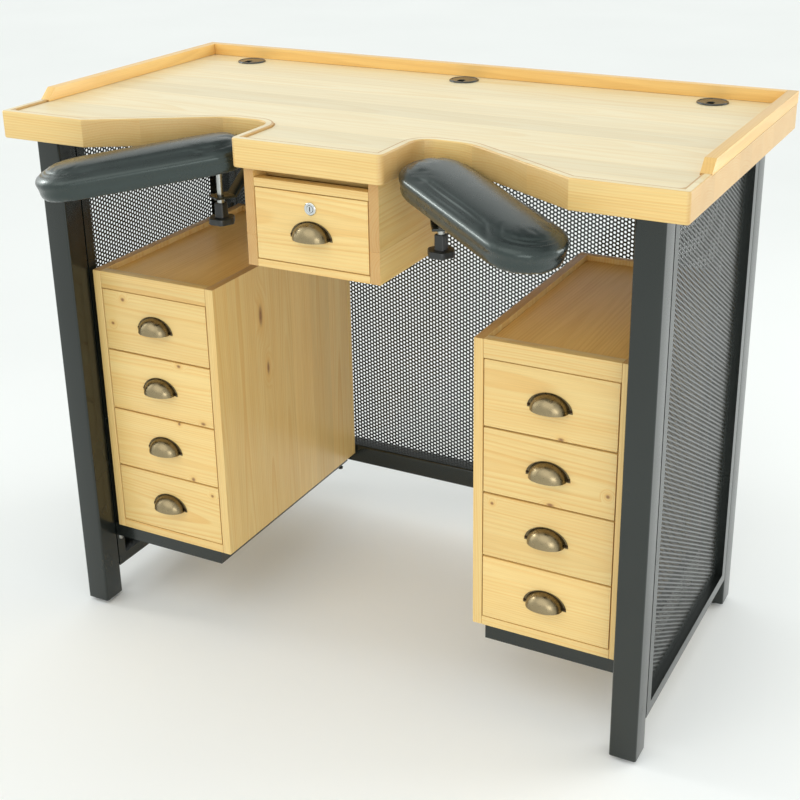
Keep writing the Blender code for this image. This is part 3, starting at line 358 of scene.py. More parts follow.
def aged_brass(name):
    """Brass, pressed, then browned and rubbed back: dark in the hollows, bright where it is touched."""
    material, tree = blank(name)
    colours = settings().colours
    where = add(tree, "TexCoord")
    rubbed = add(tree, "Attribute", {"attribute_name": "rubbed"})
    # Blotches of the browning are 3 to 8 mm across.
    blotch = add(tree, "TexNoise", Vector=(where, "Object"), Scale=cells(5.263), Detail=4.0, Roughness=0.6)
    mixed = add(tree, "Math", {"operation": "MULTIPLY_ADD"}, s0=blotch, s1=0.55, s2=(rubbed, "Fac"))
    share = add(tree, "MapRange", Value=mixed, From_Min=0.15, From_Max=1.15)
    colour = add(tree, "Mix", MIX, s0=share, s6=rgba(colours.brass), s7=rgba(colours.brass_worn))
    gloss = add(tree, "MapRange", Value=blotch, **MID_NOISE, To_Min=0.22, To_Max=0.4)
    bump = add(tree, "Bump", Strength=0.08, Distance=0.0003, Height=blotch)
    surface = add(tree, "BsdfPrincipled", Base_Color=(colour, 2), Metallic=1.0, Roughness=gloss, Normal=bump)
    add(tree, "OutputMaterial", Surface=surface)
    return material


def plated(name, colour, rough, grit):
    """Plated metal: a bright film whose fine scratches spread the reflections a little.

    The scratches are finer than a hair; grit is the width in millimetres that they are drawn at to show."""
    material, tree = blank(name)
    where = add(tree, "TexCoord")
    scuff = add(tree, "TexNoise", Vector=(where, "Object"), Scale=cells(grit), Detail=3.0, Roughness=0.65)
    gloss = add(tree, "MapRange", Value=scuff, **MID_NOISE, To_Min=rough * 0.7, To_Max=rough * 1.4)
    bump = add(tree, "Bump", Strength=0.05, Distance=0.0002, Height=scuff)
    surface = add(tree, "BsdfPrincipled", Base_Color=rgba(colour), Metallic=1.0, Roughness=gloss,
                  Normal=bump)
    add(tree, "OutputMaterial", Surface=surface)
    return material


def moulded(name, colour, rough):
    """Plastic moulded in a spark-eroded tool: a dull even skin of fine pits."""
    material, tree = blank(name)
    where = add(tree, "TexCoord")
    # The pits are about 0.2 mm; they are drawn 1 mm across so that they show.
    pits = add(tree, "TexNoise", Vector=(where, "Object"), Scale=cells(1.0), Detail=2.0)
    tone = add(tree, "MapRange", Value=pits, **MID_NOISE, To_Min=0.85, To_Max=1.2)
    tinted = add(tree, "VectorMath", {"operation": "SCALE"}, s0=tuple(colour), Scale=tone)
    bump = add(tree, "Bump", Strength=0.1, Distance=0.0002, Height=pits)
    gloss = add(tree, "MapRange", Value=pits, **MID_NOISE, To_Min=rough - 0.06, To_Max=rough + 0.06)
    surface = add(tree, "BsdfPrincipled", Base_Color=tinted, Roughness=gloss, IOR=1.53, Normal=bump)
    add(tree, "OutputMaterial", Surface=surface)
    return material


def finish(name):
    """The material of that name, made on first use."""
    made = bpy.data.materials.get(name)
    if made:
        return made
    c, stave = settings().colours, settings().sizes.stave
    makers = {
        "pine_laminated_varnished_painted_lit": lambda: pine(name, c.top_pale_lit, c.top_dark_lit, stave),
        "pine_laminated_sawn_varnished": lambda: pine(name, c.pine_pale, c.pine_dark, stave),
        "pine_planed_varnished": lambda: pine(name, c.pine_pale, c.pine_dark),
        "pine_planed_oiled": lambda: pine(name, c.pine_warm, c.pine_dark),
        "steel_powder_coated": lambda: powder_coat(name),
        "vinyl_leatherette_embossed": lambda: leatherette(name),
        "brass_pressed_browned": lambda: aged_brass(name),
        "brass_chrome_plated": lambda: plated(name, c.chrome, 0.14, 2.0),
        "steel_zinc_plated": lambda: plated(name, c.zinc, 0.3, 1.43),
        "steel_screw_blackened": lambda: plated(name, c.screw, 0.35, 1.43),
        "abs_moulded": lambda: moulded(name, c.plastic, 0.36),
        "abs_polished": lambda: moulded(name, c.grommet, 0.2),
        "polyethylene_moulded": lambda: moulded(name, c.foot, 0.55),
    }
    return makers[name]()


# Mesh helpers

def rounded(corners, step=math.radians(6)):
    """A closed outline from (x, y, radius) corners, with an arc at each corner that has a radius."""
    outline = []
    for index, (x, y, radius) in enumerate(corners):
        here = Vector((x, y))
        to_last = (Vector(corners[index - 1][:2]) - here).normalized()
        to_next = (Vector(corners[(index + 1) % len(corners)][:2]) - here).normalized()
        half = to_last.angle(to_next) / 2
        if half > math.radians(89.9):      # the outline runs straight on
            outline.append(here)
            continue
        radius = max(radius, 1e-5)
        centre = here + (to_last + to_next).normalized() * radius / math.sin(half)
        start = here + to_last * radius / math.tan(half) - centre
        sweep = math.copysign(math.pi - 2 * half, to_next.cross(to_last))
        count = max(1, math.ceil(abs(sweep) / step))
        outline += [centre + Matrix.Rotation(sweep * i / count, 2) @ start for i in range(count + 1)]
    return outline


def drawn_in(corners, distance):
    """The corners moved in from both their edges, with radii that follow."""
    moved = []
    for index, (x, y, radius) in enumerate(corners):
        here = Vector((x, y))
        come = (here - Vector(corners[index - 1][:2])).normalized()
        leave = (Vector(corners[(index + 1) % len(corners)][:2]) - here).normalized()
        normal = Vector((-come.y, come.x)) + Vector((-leave.y, leave.x))
        here += normal * distance / (1 + come.dot(leave))
        follow = radius - distance if come.cross(leave) > 0 else radius + distance
        moved.append((here.x, here.y, max(follow, 0.0)))
    return moved


def skin(sections, around=False, into=None):
    """A closed skin over rings of equal length, capped at its ends, or joined when it goes around."""
    bm = into or bmesh.new()
    rings = [[bm.verts.new(point) for point in section] for section in sections]
    pairs = list(zip(rings, rings[1:]))
    faces = []
    if around:
        pairs.append((rings[-1], rings[0]))
    else:
        faces += [bm.faces.new(rings[0]), bm.faces.new(rings[-1])]
    for ring, after in pairs:
        for i in range(len(ring)):
            faces.append(bm.faces.new((ring[i - 1], ring[i], after[i], after[i - 1])))
    bmesh.ops.remove_doubles(bm, verts=[v for ring in rings for v in ring], dist=1e-7)
    bmesh.ops.recalc_face_normals(bm, faces=[f for f in faces if f.is_valid])
    return bm


def turned(profile, steps, into=None, place=Matrix.Identity(4)):
    """A (radius, height) profile turned round Z, then put in place; a radius of 0 closes it."""
    bm = into or bmesh.new()
    before = set(bm.verts)
    rings = [[place @ Vector((r * math.cos(a), r * math.sin(a), h)) for r, h in profile]
             for a in (2 * math.pi * i / steps for i in range(steps))]
    closed = profile[0][0] > 0 or profile[-1][0] > 0
    sides = len(profile) if closed else len(profile) - 1
    grid = [[bm.verts.new(p) for p in ring] for ring in rings]
    faces = []
    for ring, after in zip(grid, grid[1:] + grid[:1]):
        for i in range(sides):
            j = (i + 1) % len(profile)
            faces.append(bm.faces.new((ring[i], ring[j], after[j], after[i])))
    fresh = [v for v in bm.verts if v not in before]
    bmesh.ops.remove_doubles(bm, verts=fresh, dist=1e-7)
    bmesh.ops.recalc_face_normals(bm, faces=[f for f in faces if f.is_valid])
    return bm


def drill(radius, start, end, steps, place):
    """A cylinder along Z, then put in place, to cut a round hole with."""
    return turned([(0, start), (radius, start), (radius, end), (0, end)], steps, place=place)


def timber():
    """A bmesh whose points and faces carry their place in the wood."""
    bm = bmesh.new()
    for layer in ("grain", "knot_a", "knot_b"):
        bm.verts.layers.float_vector.new(layer)
    bm.verts.layers.float.new("tint")
    bm.faces.layers.float.new("end_grain")
    return bm


def put_grain(bm, verts, along, seed, knots=()):
    """Give a board's points their place in a tree: the pith runs along the board, below or above it.

    knots are (along, across, half length, half width) from the board's middle, in metres."""
    pick = random.Random(seed)
    low = Vector([min(v.co[i] for v in verts) for i in range(3)])
    high = Vector([max(v.co[i] for v in verts) for i in range(3)])
    middle, size = (low + high) / 2, high - low
    a = "XYZ".index(along)
    b, c = sorted((i for i in range(3) if i != a), key=lambda i: -size[i])
    # The board was sawn somewhere in 9 m of tree, up to 40 mm beside the pith and 35 to 75 mm from it.
    start, aside = pick.uniform(0, 9), pick.uniform(-0.5, 0.5) * min(size[b], 0.08)
    depth = pick.choice((-1, 1)) * pick.uniform(0.035, 0.075)
    tint = pick.random()
    layers = bm.verts.layers
    spots = [layers.float_vector["knot_a"], layers.float_vector["knot_b"]]
    for v in verts:
        p = v.co - middle
        v[layers.float_vector["grain"]] = (p[a] + start, p[b] + aside, p[c] + depth)
        v[layers.float["tint"]] = tint
        for i, spot in enumerate(spots):
            if i < len(knots):
                u, w, long, wide = knots[i]
                v[spot] = ((p[a] - u) / long, (p[b] - w) / wide, 0)
            else:
                v[spot] = NO_KNOT
    for face in {f for v in verts for f in v.link_faces}:
        if abs(face.normal[a]) > 0.9:
            face[bm.faces.layers.float["end_grain"]] = 1.0


def board(bm, low, high, along, seed, knots=(), eased=None, outline=None):
    """Add a board with rounded edges; one that isn't square has an outline in Y and Z, and runs along X."""
    before = set(bm.verts)
    if outline:
        skin([[(x, *p) for p in outline] for x in (low, high)], into=bm)
    else:
        low, high = [min(p) for p in zip(low, high)], [max(p) for p in zip(low, high)]
        corners = [(low[0], low[1]), (high[0], low[1]), (high[0], high[1]), (low[0], high[1])]
        skin([[(*p, z) for p in corners] for z in (low[2], high[2])], into=bm)
    fresh = [v for v in bm.verts if v not in before]
    edges = list({e for v in fresh for e in v.link_edges})
    width = settings().sizes.board_edge if eased is None else eased
    bmesh.ops.bevel(bm, geom=edges, offset=width, segments=2, profile=0.6, affect="EDGES")
    fresh = [v for v in bm.verts if v not in before]
    for face in {f for v in fresh for f in v.link_faces}:
        face.normal_update()
    put_grain(bm, fresh, along, seed, knots)


def place(name, shape, body, finishes, stands_for=(), slot=None, smooth=35):
    """Make a piece from a bmesh or mesh, on its body, in place of the nodes that it stands for."""
    if isinstance(shape, bmesh.types.BMesh):
        mesh = bpy.data.meshes.new(name)
        shape.to_mesh(mesh)
        shape.free()
    else:
        mesh = shape
        mesh.name = name
    for each in [finishes] if isinstance(finishes, str) else finishes:
        mesh.materials.append(finish(each))
    if smooth:
        mesh.shade_smooth()
        mesh.set_sharp_from_angle(angle=math.radians(smooth))
    piece = bpy.data.objects.new(name, mesh)
    bpy.context.scene.collection.objects.link(piece)
    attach(piece, body)
    if stands_for:
        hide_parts(*([stands_for] if isinstance(stands_for, str) else stands_for))
    return piece


def cut(base, cutters):
    """The base's mesh with the cutters taken from it."""
    stock = []
    for bm in (base, *cutters):
        mesh = bpy.data.meshes.new("stock")
        bm.to_mesh(mesh)
        bm.free()
        stock.append(bpy.data.objects.new("stock", mesh))
        bpy.context.scene.collection.objects.link(stock[-1])
    for other in stock[1:]:
        step = stock[0].modifiers.new("cut", "BOOLEAN")
        step.operation, step.solver, step.object = "DIFFERENCE", "EXACT", other
    bpy.context.view_layer.update()
    mesh = bpy.data.meshes.new_from_object(stock[0].evaluated_get(bpy.context.evaluated_depsgraph_get()))
    for obj in stock:
        bpy.data.objects.remove(obj)
    return mesh


def from_node(node):
    """A bmesh of a CAD node's own shape, with flat faces in one piece."""
    bm = bmesh.new()
    bm.from_mesh(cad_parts[node].data)
    bmesh.ops.remove_doubles(bm, verts=bm.verts, dist=1e-6)
    bmesh.ops.dissolve_limit(bm, angle_limit=math.radians(0.5), verts=bm.verts, edges=bm.edges)
    bmesh.ops.recalc_face_normals(bm, faces=bm.faces)
    return bm


# Pieces

def slab_corners():
    """Corners of the slab from its front left, with the step where the lip ends under each side rail."""
    half, depth = TOP_HIGH.x, TOP_HIGH.y - FRONT
    tongue, cut_depth, slope = 0.134, 0.122, math.radians(30.3)
    reach = 0.21548                    # from the front edge's middle to the line of the sloping edge
    tip = reach / math.sin(slope)
    knee = (reach - cut_depth * math.cos(slope)) / math.sin(slope)
    nose, inner, bend, point, outer = 0.010, 0.030, 0.080, 0.003, 0.006      # radii of the corners
    step = 0.0003
    right = [(tongue, 0, nose), (tongue, cut_depth, inner), (knee, cut_depth, bend), (tip, 0, point),
             (half, 0, outer), (half, LIP_END, 0), (half, LIP_END + step, 0)]
    left = [(-x, y, r) for x, y, r in reversed(right)]
    return left + right + [(half, depth, outer), (-half, depth, outer)]


class BENCH_OT_worktop(bpy.types.Operator):
    """Build the laminated slab with its lip, and the low rails round it"""
    bl_idname = "bench.worktop"
    bl_label = "Worktop"

    def execute(self, context):
        edge = settings().sizes.slab_edge
        lip, sunk = 0.014, 0.0035      # the lip's width, and how far the top lies below it
        lip_top, surface, under = TOP_HIGH.z, TOP_HIGH.z - sunk, TOP_LOW.z
        upper = under + 0.02           # rings over this height make the slab's upper side
        beside, back = 0.4, 0.3        # the lip can end past this X, and never goes past this Y
        inside_round, hole, drill_reach = 0.012, 0.0245, 0.1
        corners = slab_corners()
        quarter = [math.pi / 2 * i / 4 for i in range(5)]
        rings = [(edge * (1 - math.sin(a)), under + edge * (1 - math.cos(a))) for a in quarter]
        rings += [(edge * (1 - math.cos(a)), lip_top - edge * (1 - math.sin(a))) for a in quarter]
        # A groove at the foot of the lip shows as a dark line; a strip along the lip's inner top edge is
        # painted darker with the end grain's colour, as painted shade.
        shade_strip_z, groove, across = lip_top - 0.0002, surface - 0.0022, 0.0021
        rings += [(lip - 0.0033, lip_top), (lip - 0.0032, shade_strip_z), (lip - 0.0004, shade_strip_z),
                  (lip, lip_top - 0.0007), (lip, groove), (lip + across, groove), (lip + across, surface)]
        sections = []
        for inset, z in rings:
            drawn = drawn_in(corners, inset)
            if inset > lip - 0.001:
                # Inside the lip, the corners at the ends of the front are rounder.
                drawn = [(x, y, inside_round if abs(x) > 0.5 and y < 0.05 else r) for x, y, r in drawn]
            edged = []
            for p in rounded(drawn):
                behind_lip = p.y > LIP_END + 0.0001 and abs(p.x) > beside or p.y > back
                edged.append((p.x, p.y + FRONT, min(z, surface) if behind_lip and z > upper else z))
            sections.append(edged)
        holes = []
        for grommet in GROMMETS:
            low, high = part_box("grommet_" + grommet)
            spot = (low + high) / 2
            spot = Matrix.Translation((spot.x, spot.y, surface))
            holes.append(drill(hole, -drill_reach, drill_reach, 64, spot))
        bm = timber()
        bm.from_mesh(cut(skin(sections), holes))
        self.put_staves(bm, surface, shade_strip_z)
        place("worktop_slab", bm, "bench", ("pine_laminated_varnished_painted_lit", "pine_laminated_sawn_varnished"),
              "worktop", "pine_top")

        chamfer, eased = 0.02, 0.0008
        for hand, side in HANDS:
            low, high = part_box("top_rail_" + hand)
            profile = [(low.y, low.z), (high.y, low.z), (high.y, high.z), (low.y + chamfer, high.z),
                       (low.y, lip_top)]
            rail = timber()
            board(rail, low.x, high.x, "Y", 11 + side, outline=profile, eased=eased)
            place(f"top_rail_{hand}_strip", rail, "bench", "pine_planed_oiled", "top_rail_" + hand, "pine")
        rail = timber()
        board(rail, *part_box("top_rail_back"), "X", 17, eased=eased)
        place("top_rail_back_strip", rail, "bench", "pine_planed_oiled", "top_rail_back", "pine")
        return {"FINISHED"}

    def put_staves(self, bm, surface, shade_strip_z):
        """Give the slab's points their place among the staves, and its faces their finish and end grain."""
        first, shade_strip_tone, end_tone = 0.02, 0.9, 0.7
        vectors = bm.verts.layers.float_vector
        for v in bm.verts:
            v[vectors["grain"]] = (v.co.x, v.co.y - FRONT + first, v.co.z - TOP_LOW.z)
            v[vectors["knot_a"]] = v[vectors["knot_b"]] = NO_KNOT
        for face in bm.faces:
            face.normal_update()
            z, flat = face.calc_center_median().z, face.normal.z > 0.9
            # The strip along the lip's inner top edge takes the edges' pine and the darker end-grain colour:
            # painted shade.
            line = flat and abs(z - shade_strip_z) < 0.00008
            # Upward faces take the paler top colours, painted light from above; the edges and the underside
            # take the plain pine.
            face.material_index = 0 if flat and z > surface - 0.001 and not line else 1
            face[bm.faces.layers.float["end_grain"]] = shade_strip_tone if line else end_tone * abs(face.normal.x)


class BENCH_OT_grommets(bpy.types.Operator):
    """Build the cable grommets along the back of the top"""
    bl_idname = "bench.grommets"
    bl_label = "Grommets"

    def execute(self, context):
        outer, inner, cap = 0.0242, 0.0222, 0.0025      # radii of the liner, and the cap's height
        wide, near, far = 0.0065, -0.0032, -0.0202      # half the slot's width, and its ends from the middle
        for name in GROMMETS:
            low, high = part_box("grommet_" + name)
            x, y, foot, top = (low.x + high.x) / 2, (low.y + high.y) / 2, low.z, high.z
            flange, seat = (high.x - low.x) / 2, high.z - cap
            profile = [(0, seat), (inner, seat), (inner, foot), (outer, foot), (outer, seat),
                       (flange - 0.0004, seat), (flange, seat + 0.0005), (flange - 0.0003, seat + 0.0014),
                       (flange - 0.0012, top - 0.0003), (flange - 0.0022, top),
                       (flange - 0.0032, top - 0.0002), (flange - 0.0038, top - 0.0011),
                       (flange - 0.0048, top - 0.0011), (flange - 0.0054, top - 0.0007), (0, top - 0.0004)]
            disc = turned(profile, 72, place=Matrix.Translation((x, y, 0)))
            outline = rounded([(-wide, far, 0.0015), (wide, far, 0.0015), (wide, near, 0.0062),
                               (-wide, near, 0.0062)])
            slot = skin([[(x + px, y + py, z) for px, py in outline] for z in (foot + 0.01, top + 0.01)])
            place(f"grommet_{name}_cap", cut(disc, [slot]), "bench", "abs_polished", "grommet_" + name,
                  "black_plastic", smooth=30)
        return {"FINISHED"}


class BENCH_OT_steelwork(bpy.types.Operator):
    """Coat the legs, rails and supports, and set the feet and bolts"""
    bl_idname = "bench.steelwork"
    bl_label = "Steelwork"

    def execute(self, context):
        tubes = [f"leg_{end}_{hand}" for end in ("front", "rear") for hand, _ in HANDS]
        tubes += [f"{part}_{hand}" for part in ("side_frame", "cabinet_support") for hand, _ in HANDS]
        for node in tubes + ["back_rail_lower", "back_rail_upper"]:
            place(node + "_tube", from_node(node), "bench", "steel_powder_coated", node, "black_steel",
                  smooth=32)
        r, stem = 0.015, 0.0075
        for end in ("front", "rear"):
            for hand, _ in HANDS:
                node = f"foot_{end}_{hand}"
                low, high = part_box(node)
                x, y = (low.x + high.x) / 2, (low.y + high.y) / 2
                profile = [(0, 0), (r - 0.0025, 0), (r - 0.0008, 0.0008), (r, 0.0025), (r, 0.0052),
                           (r - 0.001, 0.0068), (stem, 0.0075), (stem, high.z), (0, high.z)]
                place(node + "_glide", turned(profile, 40, place=Matrix.Translation((x, y, 0))), "bench",
                      "polyethylene_moulded", node, "black_plastic")
        # A bolt shows inside the left frame, and a peg under the left cabinet.
        bm = bmesh.new()
        head = [(0, 0), (0.0062, 0), (0.0062, 0.0006), (0.0056, 0.0022), (0.0035, 0.0034), (0.0022, 0.0036),
                (0.0022, 0.0022), (0, 0.0022)]
        bolt_spot = (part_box("side_frame_left")[1].x, FRONT + 0.0905, 0.124)
        turned(head, 24, into=bm, place=Matrix.Translation(bolt_spot) @ Matrix.Rotation(math.pi / 2, 4, "Y"))
        bright = set(bm.faces)
        low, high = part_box("cabinet_support_left")
        tall, thin, thick = 0.0165, 0.003, 0.005
        peg = [(0, 0), (0.0045, 0), (thick, 0.0005), (thick, 0.004), (thin, 0.0042), (thin, tall), (0, tall)]
        peg_spot = (high.x - 0.012, FRONT + 0.543, low.z - tall)
        turned(peg, 24, into=bm, place=Matrix.Translation(peg_spot))
        for face in bm.faces:
            face.material_index = 0 if face in bright else 1
        place("frame_bolts", bm, "bench", ("steel_zinc_plated", "steel_powder_coated"), slot="black_steel")
        return {"FINISHED"}


def outer_corners(columns, rows, at_hole):
    """The outer corners of the outermost holes, in order round the sheet, with the edge that each faces."""
    chain = []
    last_col, last_row = columns - 1, rows - 1
    for col in range(columns):
        skipped = {3} if col == 0 else {0} if col == last_col else set()
        order = (4, 5) if col % 2 else (3, 4, 5, 0)
        chain += [(at_hole(col, 0, q), "low") for q in order if q not in skipped]
    for row in range(rows):
        chain += [(at_hole(last_col, row, q), "right") for q in ((5, 0, 1) if row else (0, 1))]
    for col in reversed(range(columns)):
        skipped = {3} if col == 0 else {0, 1} if col == last_col else set()
        order = (0, 1, 2, 3) if col % 2 else (1, 2)
        chain += [(at_hole(col, last_row, q), "high") for q in order if q not in skipped]
    for row in reversed(range(rows)):
        skipped = {2} if row == last_row else {4} if row == 0 else set()
        chain += [(at_hole(0, row, q), "left") for q in (2, 3, 4) if q not in skipped]
    return chain


def perforated(low, high, column_first, columns, rows_from, rows):
    """A sheet with offset rows of holes: its points in its own plane, and the faces of both its sides.

    The back's points are numbered on from the front's. low and high are the sheet's corners; columns start
    at column_first and rows at rows_from. The holes have six sides, which at 5 mm across read as round."""
    pitch, radius = settings().sizes.hole_pitch, settings().sizes.hole_across / math.sqrt(3)
    spacing = pitch * math.sqrt(3) / 2
    c, r, k = np.meshgrid(np.arange(columns), np.arange(rows), np.arange(6), indexing="ij")
    x = column_first + c * spacing + radius * np.cos(k * math.pi / 3)
    y = rows_from + r * pitch + (c % 2) * pitch / 2 + radius * np.sin(k * math.pi / 3)
    points = np.stack([x.ravel(), y.ravel()], 1)

    def at_hole(col, row, corner):
        """The number of a hole's corner."""
        return (col * rows + row) * 6 + corner

    faces = []
    for col in range(columns):
        odd = col % 2
        for row in range(rows):
            if row + 1 < rows:
                faces.append((at_hole(col, row, 2), at_hole(col, row, 1), at_hole(col, row + 1, 5),
                              at_hole(col, row + 1, 4)))
            if col + 1 == columns:
                continue
            up, down = (row + 1, row) if odd else (row, row - 1)
            if up < rows:
                faces.append((at_hole(col, row, 1), at_hole(col, row, 0), at_hole(col + 1, up, 4),
                              at_hole(col + 1, up, 3)))
            if down >= 0:
                faces.append((at_hole(col, row, 0), at_hole(col, row, 5), at_hole(col + 1, down, 3),
                              at_hole(col + 1, down, 2)))
            if row + 1 < rows and up < rows:
                faces.append((at_hole(col, row, 1), at_hole(col + 1, up, 3), at_hole(col, row + 1, 5)))
            if row + 1 < rows:
                beside = at_hole(col, row, 0) if odd else at_hole(col, row + 1, 0)
                faces.append((at_hole(col + 1, row, 2), beside, at_hole(col + 1, row + 1, 4)))
    chain = outer_corners(columns, rows, at_hole)
    extra, edge = [], []
    for index, wall in chain:
        px, py = points[index]
        extra.append({"low": (px, low[1]), "high": (px, high[1]),
                      "left": (low[0], py), "right": (high[0], py)}[wall])
    first = len(points)
    corner_of = {("low", "right"): (high[0], low[1]), ("right", "high"): (high[0], high[1]),
                 ("high", "left"): (low[0], high[1]), ("left", "low"): (low[0], low[1])}
    for i, (index, wall) in enumerate(chain):
        after, after_wall = chain[(i + 1) % len(chain)]
        a, b = first + i, first + (i + 1) % len(chain)
        edge.append(a)
        if wall == after_wall:
            faces.append((index, a, b, after))
        else:
            extra.append(corner_of[wall, after_wall])
            spot = first + len(extra) - 1
            edge.append(spot)
            faces.append((index, a, spot, b, after))
    points = np.concatenate([points, np.array(extra)])
    count = len(points)
    walls = []
    for hole in range(columns * rows):
        ring = [hole * 6 + q for q in range(6)]
        walls += [(a, b, b + count, a + count) for a, b in zip(ring, ring[1:] + ring[:1])]
    sides = [(b, a, a + count, b + count) for a, b in zip(edge, edge[1:] + edge[:1])]
    back = [tuple(i + count for i in reversed(face)) for face in faces]
    return points, faces + back + walls + sides


class BENCH_OT_sheets(bpy.types.Operator):
    """Punch the side and back sheets with real holes"""
    bl_idname = "bench.sheets"
    bl_label = "Perforated sheets"

    def execute(self, context):
        sizes = settings().sizes
        spacing = sizes.hole_pitch * math.sqrt(3) / 2
        jobs = [("side_panel_left", 0, 1), ("side_panel_right", 0, 1), ("back_panel", 1, 3)]
        for node, facing, parts in jobs:
            low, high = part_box(node)
            across = 1 if facing == 0 else 0
            width, tall = high[across] - low[across], high.z - low.z
            columns = int((width - 2 * sizes.sheet_margin) / spacing)
            columns -= columns % (2 * parts)
            rows = int((tall - 2 * sizes.sheet_margin - sizes.hole_pitch / 2) / sizes.hole_pitch)
            start = low[across] + (width - (columns - 1) * spacing) / 2
            foot = low.z + (tall - (rows - 1) * sizes.hole_pitch - sizes.hole_pitch / 2) / 2
            each = columns // parts
            for part in range(parts):
                first = start + part * each * spacing
                begin = low[across] if part == 0 else first - spacing / 2
                end = high[across] if part == parts - 1 else first + (each - 0.5) * spacing
                flat, faces = perforated((begin, low.z), (end, high.z), first, each, foot, rows)
                count = len(flat)
                solid = np.zeros((2 * count, 3))
                solid[:, across] = np.tile(flat[:, 0], 2)
                solid[:, 2] = np.tile(flat[:, 1], 2)
                solid[:count, facing], solid[count:, facing] = low[facing], high[facing]
                mesh = bpy.data.meshes.new(node)
                mesh.from_pydata(solid.tolist(), [], faces)
                if facing == 0:
                    mesh.flip_normals()
                name = f"{node}_sheet" if parts == 1 else f"{node}_sheet_{part + 1}"
                place(name, mesh, "bench", "steel_powder_coated", node, "black_sheet", smooth=None)
        return {"FINISHED"}


class BENCH_OT_cabinets(bpy.types.Operator):
    """Build the two drawer cabinets from boards"""
    bl_idname = "bench.cabinets"
    bl_label = "Cabinets"

    def execute(self, context):
        thick, runner, runner_tall, eased = 0.0165, 0.010, 0.008, 0.0008
        rail_low, rail_deep, runner_lift, runner_start = 0.6448, 0.018, 0.003, 0.02
        knots = {("left", 1): [(0.166, -0.086, 0.019, 0.0055), (0.057, -0.070, 0.012, 0.004)],
                 ("right", 0): [(0.05, 0.06, 0.014, 0.005)]}
        for hand, side in HANDS:
            low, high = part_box("cabinet_carcass_" + hand)
            bm = timber()
            inside = (low.x + thick, high.x - thick)
            for i, (a, b) in enumerate(((low.x, inside[0]), (inside[1], high.x))):
                board(bm, (a, low.y, low.z), (b, high.y, high.z), "Z", 30 + i + side,
                      knots.get((hand, i), ()))
            left, right = inside[0] + GAP, inside[1] - GAP
            board(bm, (left, low.y, rail_low), (right, low.y + rail_deep, high.z), "X", 40 + side)
            board(bm, (left, low.y, low.z), (right, high.y, low.z + thick), "X", 44 + side)
            foot, pitch = low.z + thick, (rail_low - low.z - thick) / len(DRAWERS)
            for n in range(len(DRAWERS)):
                z = foot + n * pitch + runner_lift
                for i, (a, b) in enumerate(((left, inside[0] + runner), (inside[1] - runner, right))):
                    board(bm, (a, low.y + runner_start, z), (b, high.y, z + runner_tall), "Y",
                          50 + n + 10 * i, eased=eased)
            place(f"cabinet_{hand}_boards", bm, "bench", "pine_laminated_sawn_varnished",
                  "cabinet_carcass_" + hand, "pine")
            # The cabinets' tops take the warmer pine, painted warm shade from under the worktop.
            for part, along, wood in (("back", "Z", "pine_planed_varnished"),
                                      ("top", "Y", "pine_planed_oiled")):
                bm = timber()
                board(bm, *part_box(f"cabinet_{part}_{hand}"), along, 60 + side + len(part))
                place(f"cabinet_{part}_{hand}_board", bm, "bench", wood, f"cabinet_{part}_{hand}", "pine")
        return {"FINISHED"}


def drawer_boards(low, high, lift, head, seed, knots=(), hole=None):
    """A drawer's front and box as boards.

    lift and head are the box's lower and upper edges, from the front's foot. A hole in the front is given
    by its height and radius."""
    front_thick, front_eased, inset, thin, floor_thick = 0.018, 0.0018, 0.0015, 0.012, 0.006
    bm = timber()
    low = low - Vector((0, 0, min(lift, 0)))
    face = low.y + front_thick
    front = timber() if hole else bm
    board(front, (low.x, low.y, low.z), (high.x, face, high.z), "X", seed, knots, eased=front_eased)
    if hole:
        height, radius = hole
        spot = Matrix.Translation(((low.x + high.x) / 2, low.y, low.z + height))
        inward = spot @ Matrix.Rotation(-math.pi / 2, 4, "X")
        pierced = cut(front, [drill(radius, -0.03, 0.05, 48, inward)])
        spots = [bm.verts.new(v.co) for v in pierced.vertices]
        for polygon in pierced.polygons:
            bm.faces.new([spots[i] for i in polygon.vertices]).normal_update()
        put_grain(bm, spots, "X", seed, knots)
    a, b, y = low.x + inset, high.x - inset, face + GAP
    foot, top = low.z + lift, low.z + head
    left, right = a + thin + GAP, b - thin - GAP
    board(bm, (a, y, foot), (a + thin, high.y, top), "Y", seed + 1)
    board(bm, (b - thin, y, foot), (b, high.y, top), "Y", seed + 2)
    board(bm, (left, high.y - thin, foot), (right, high.y, top), "X", seed + 3)
    board(bm, (left, y, foot), (right, high.y - thin - GAP, foot + floor_thick), "X", seed + 4)
    return bm


class BENCH_OT_drawers(bpy.types.Operator):
    """Build the eight drawers of the cabinets"""
    bl_idname = "bench.drawers"
    bl_label = "Drawers"

    def execute(self, context):
        knots = {("left", 1): [(-0.068, 0.043, 0.004, 0.0035), (-0.095, -0.006, 0.0035, 0.003)],
                 ("left", 2): [(0.045, 0.052, 0.004, 0.003), (0.09, -0.052, 0.005, 0.003)],
                 ("left", 3): [(0.036, 0.055, 0.003, 0.003), (0.058, -0.053, 0.004, 0.004)],
                 ("left", 4): [(0.098, 0.04, 0.003, 0.003)],
                 ("right", 1): [(0.02, -0.055, 0.005, 0.003)],
                 ("right", 2): [(0.005, -0.055, 0.006, 0.003), (0.1, -0.018, 0.0035, 0.0035)],
                 ("right", 3): [(-0.096, 0.042, 0.003, 0.003)]}
        lift, head = 0.0125, 0.1066
        for hand, side in HANDS:
            for n in DRAWERS:
                node = f"drawer_{hand}_{n}"
                bm = drawer_boards(*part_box(node), lift, head, 100 + 10 * n + side, knots.get((hand, n), ()))
                place(node + "_boards", bm, node, "pine_planed_varnished", node, "pine")
        return {"FINISHED"}


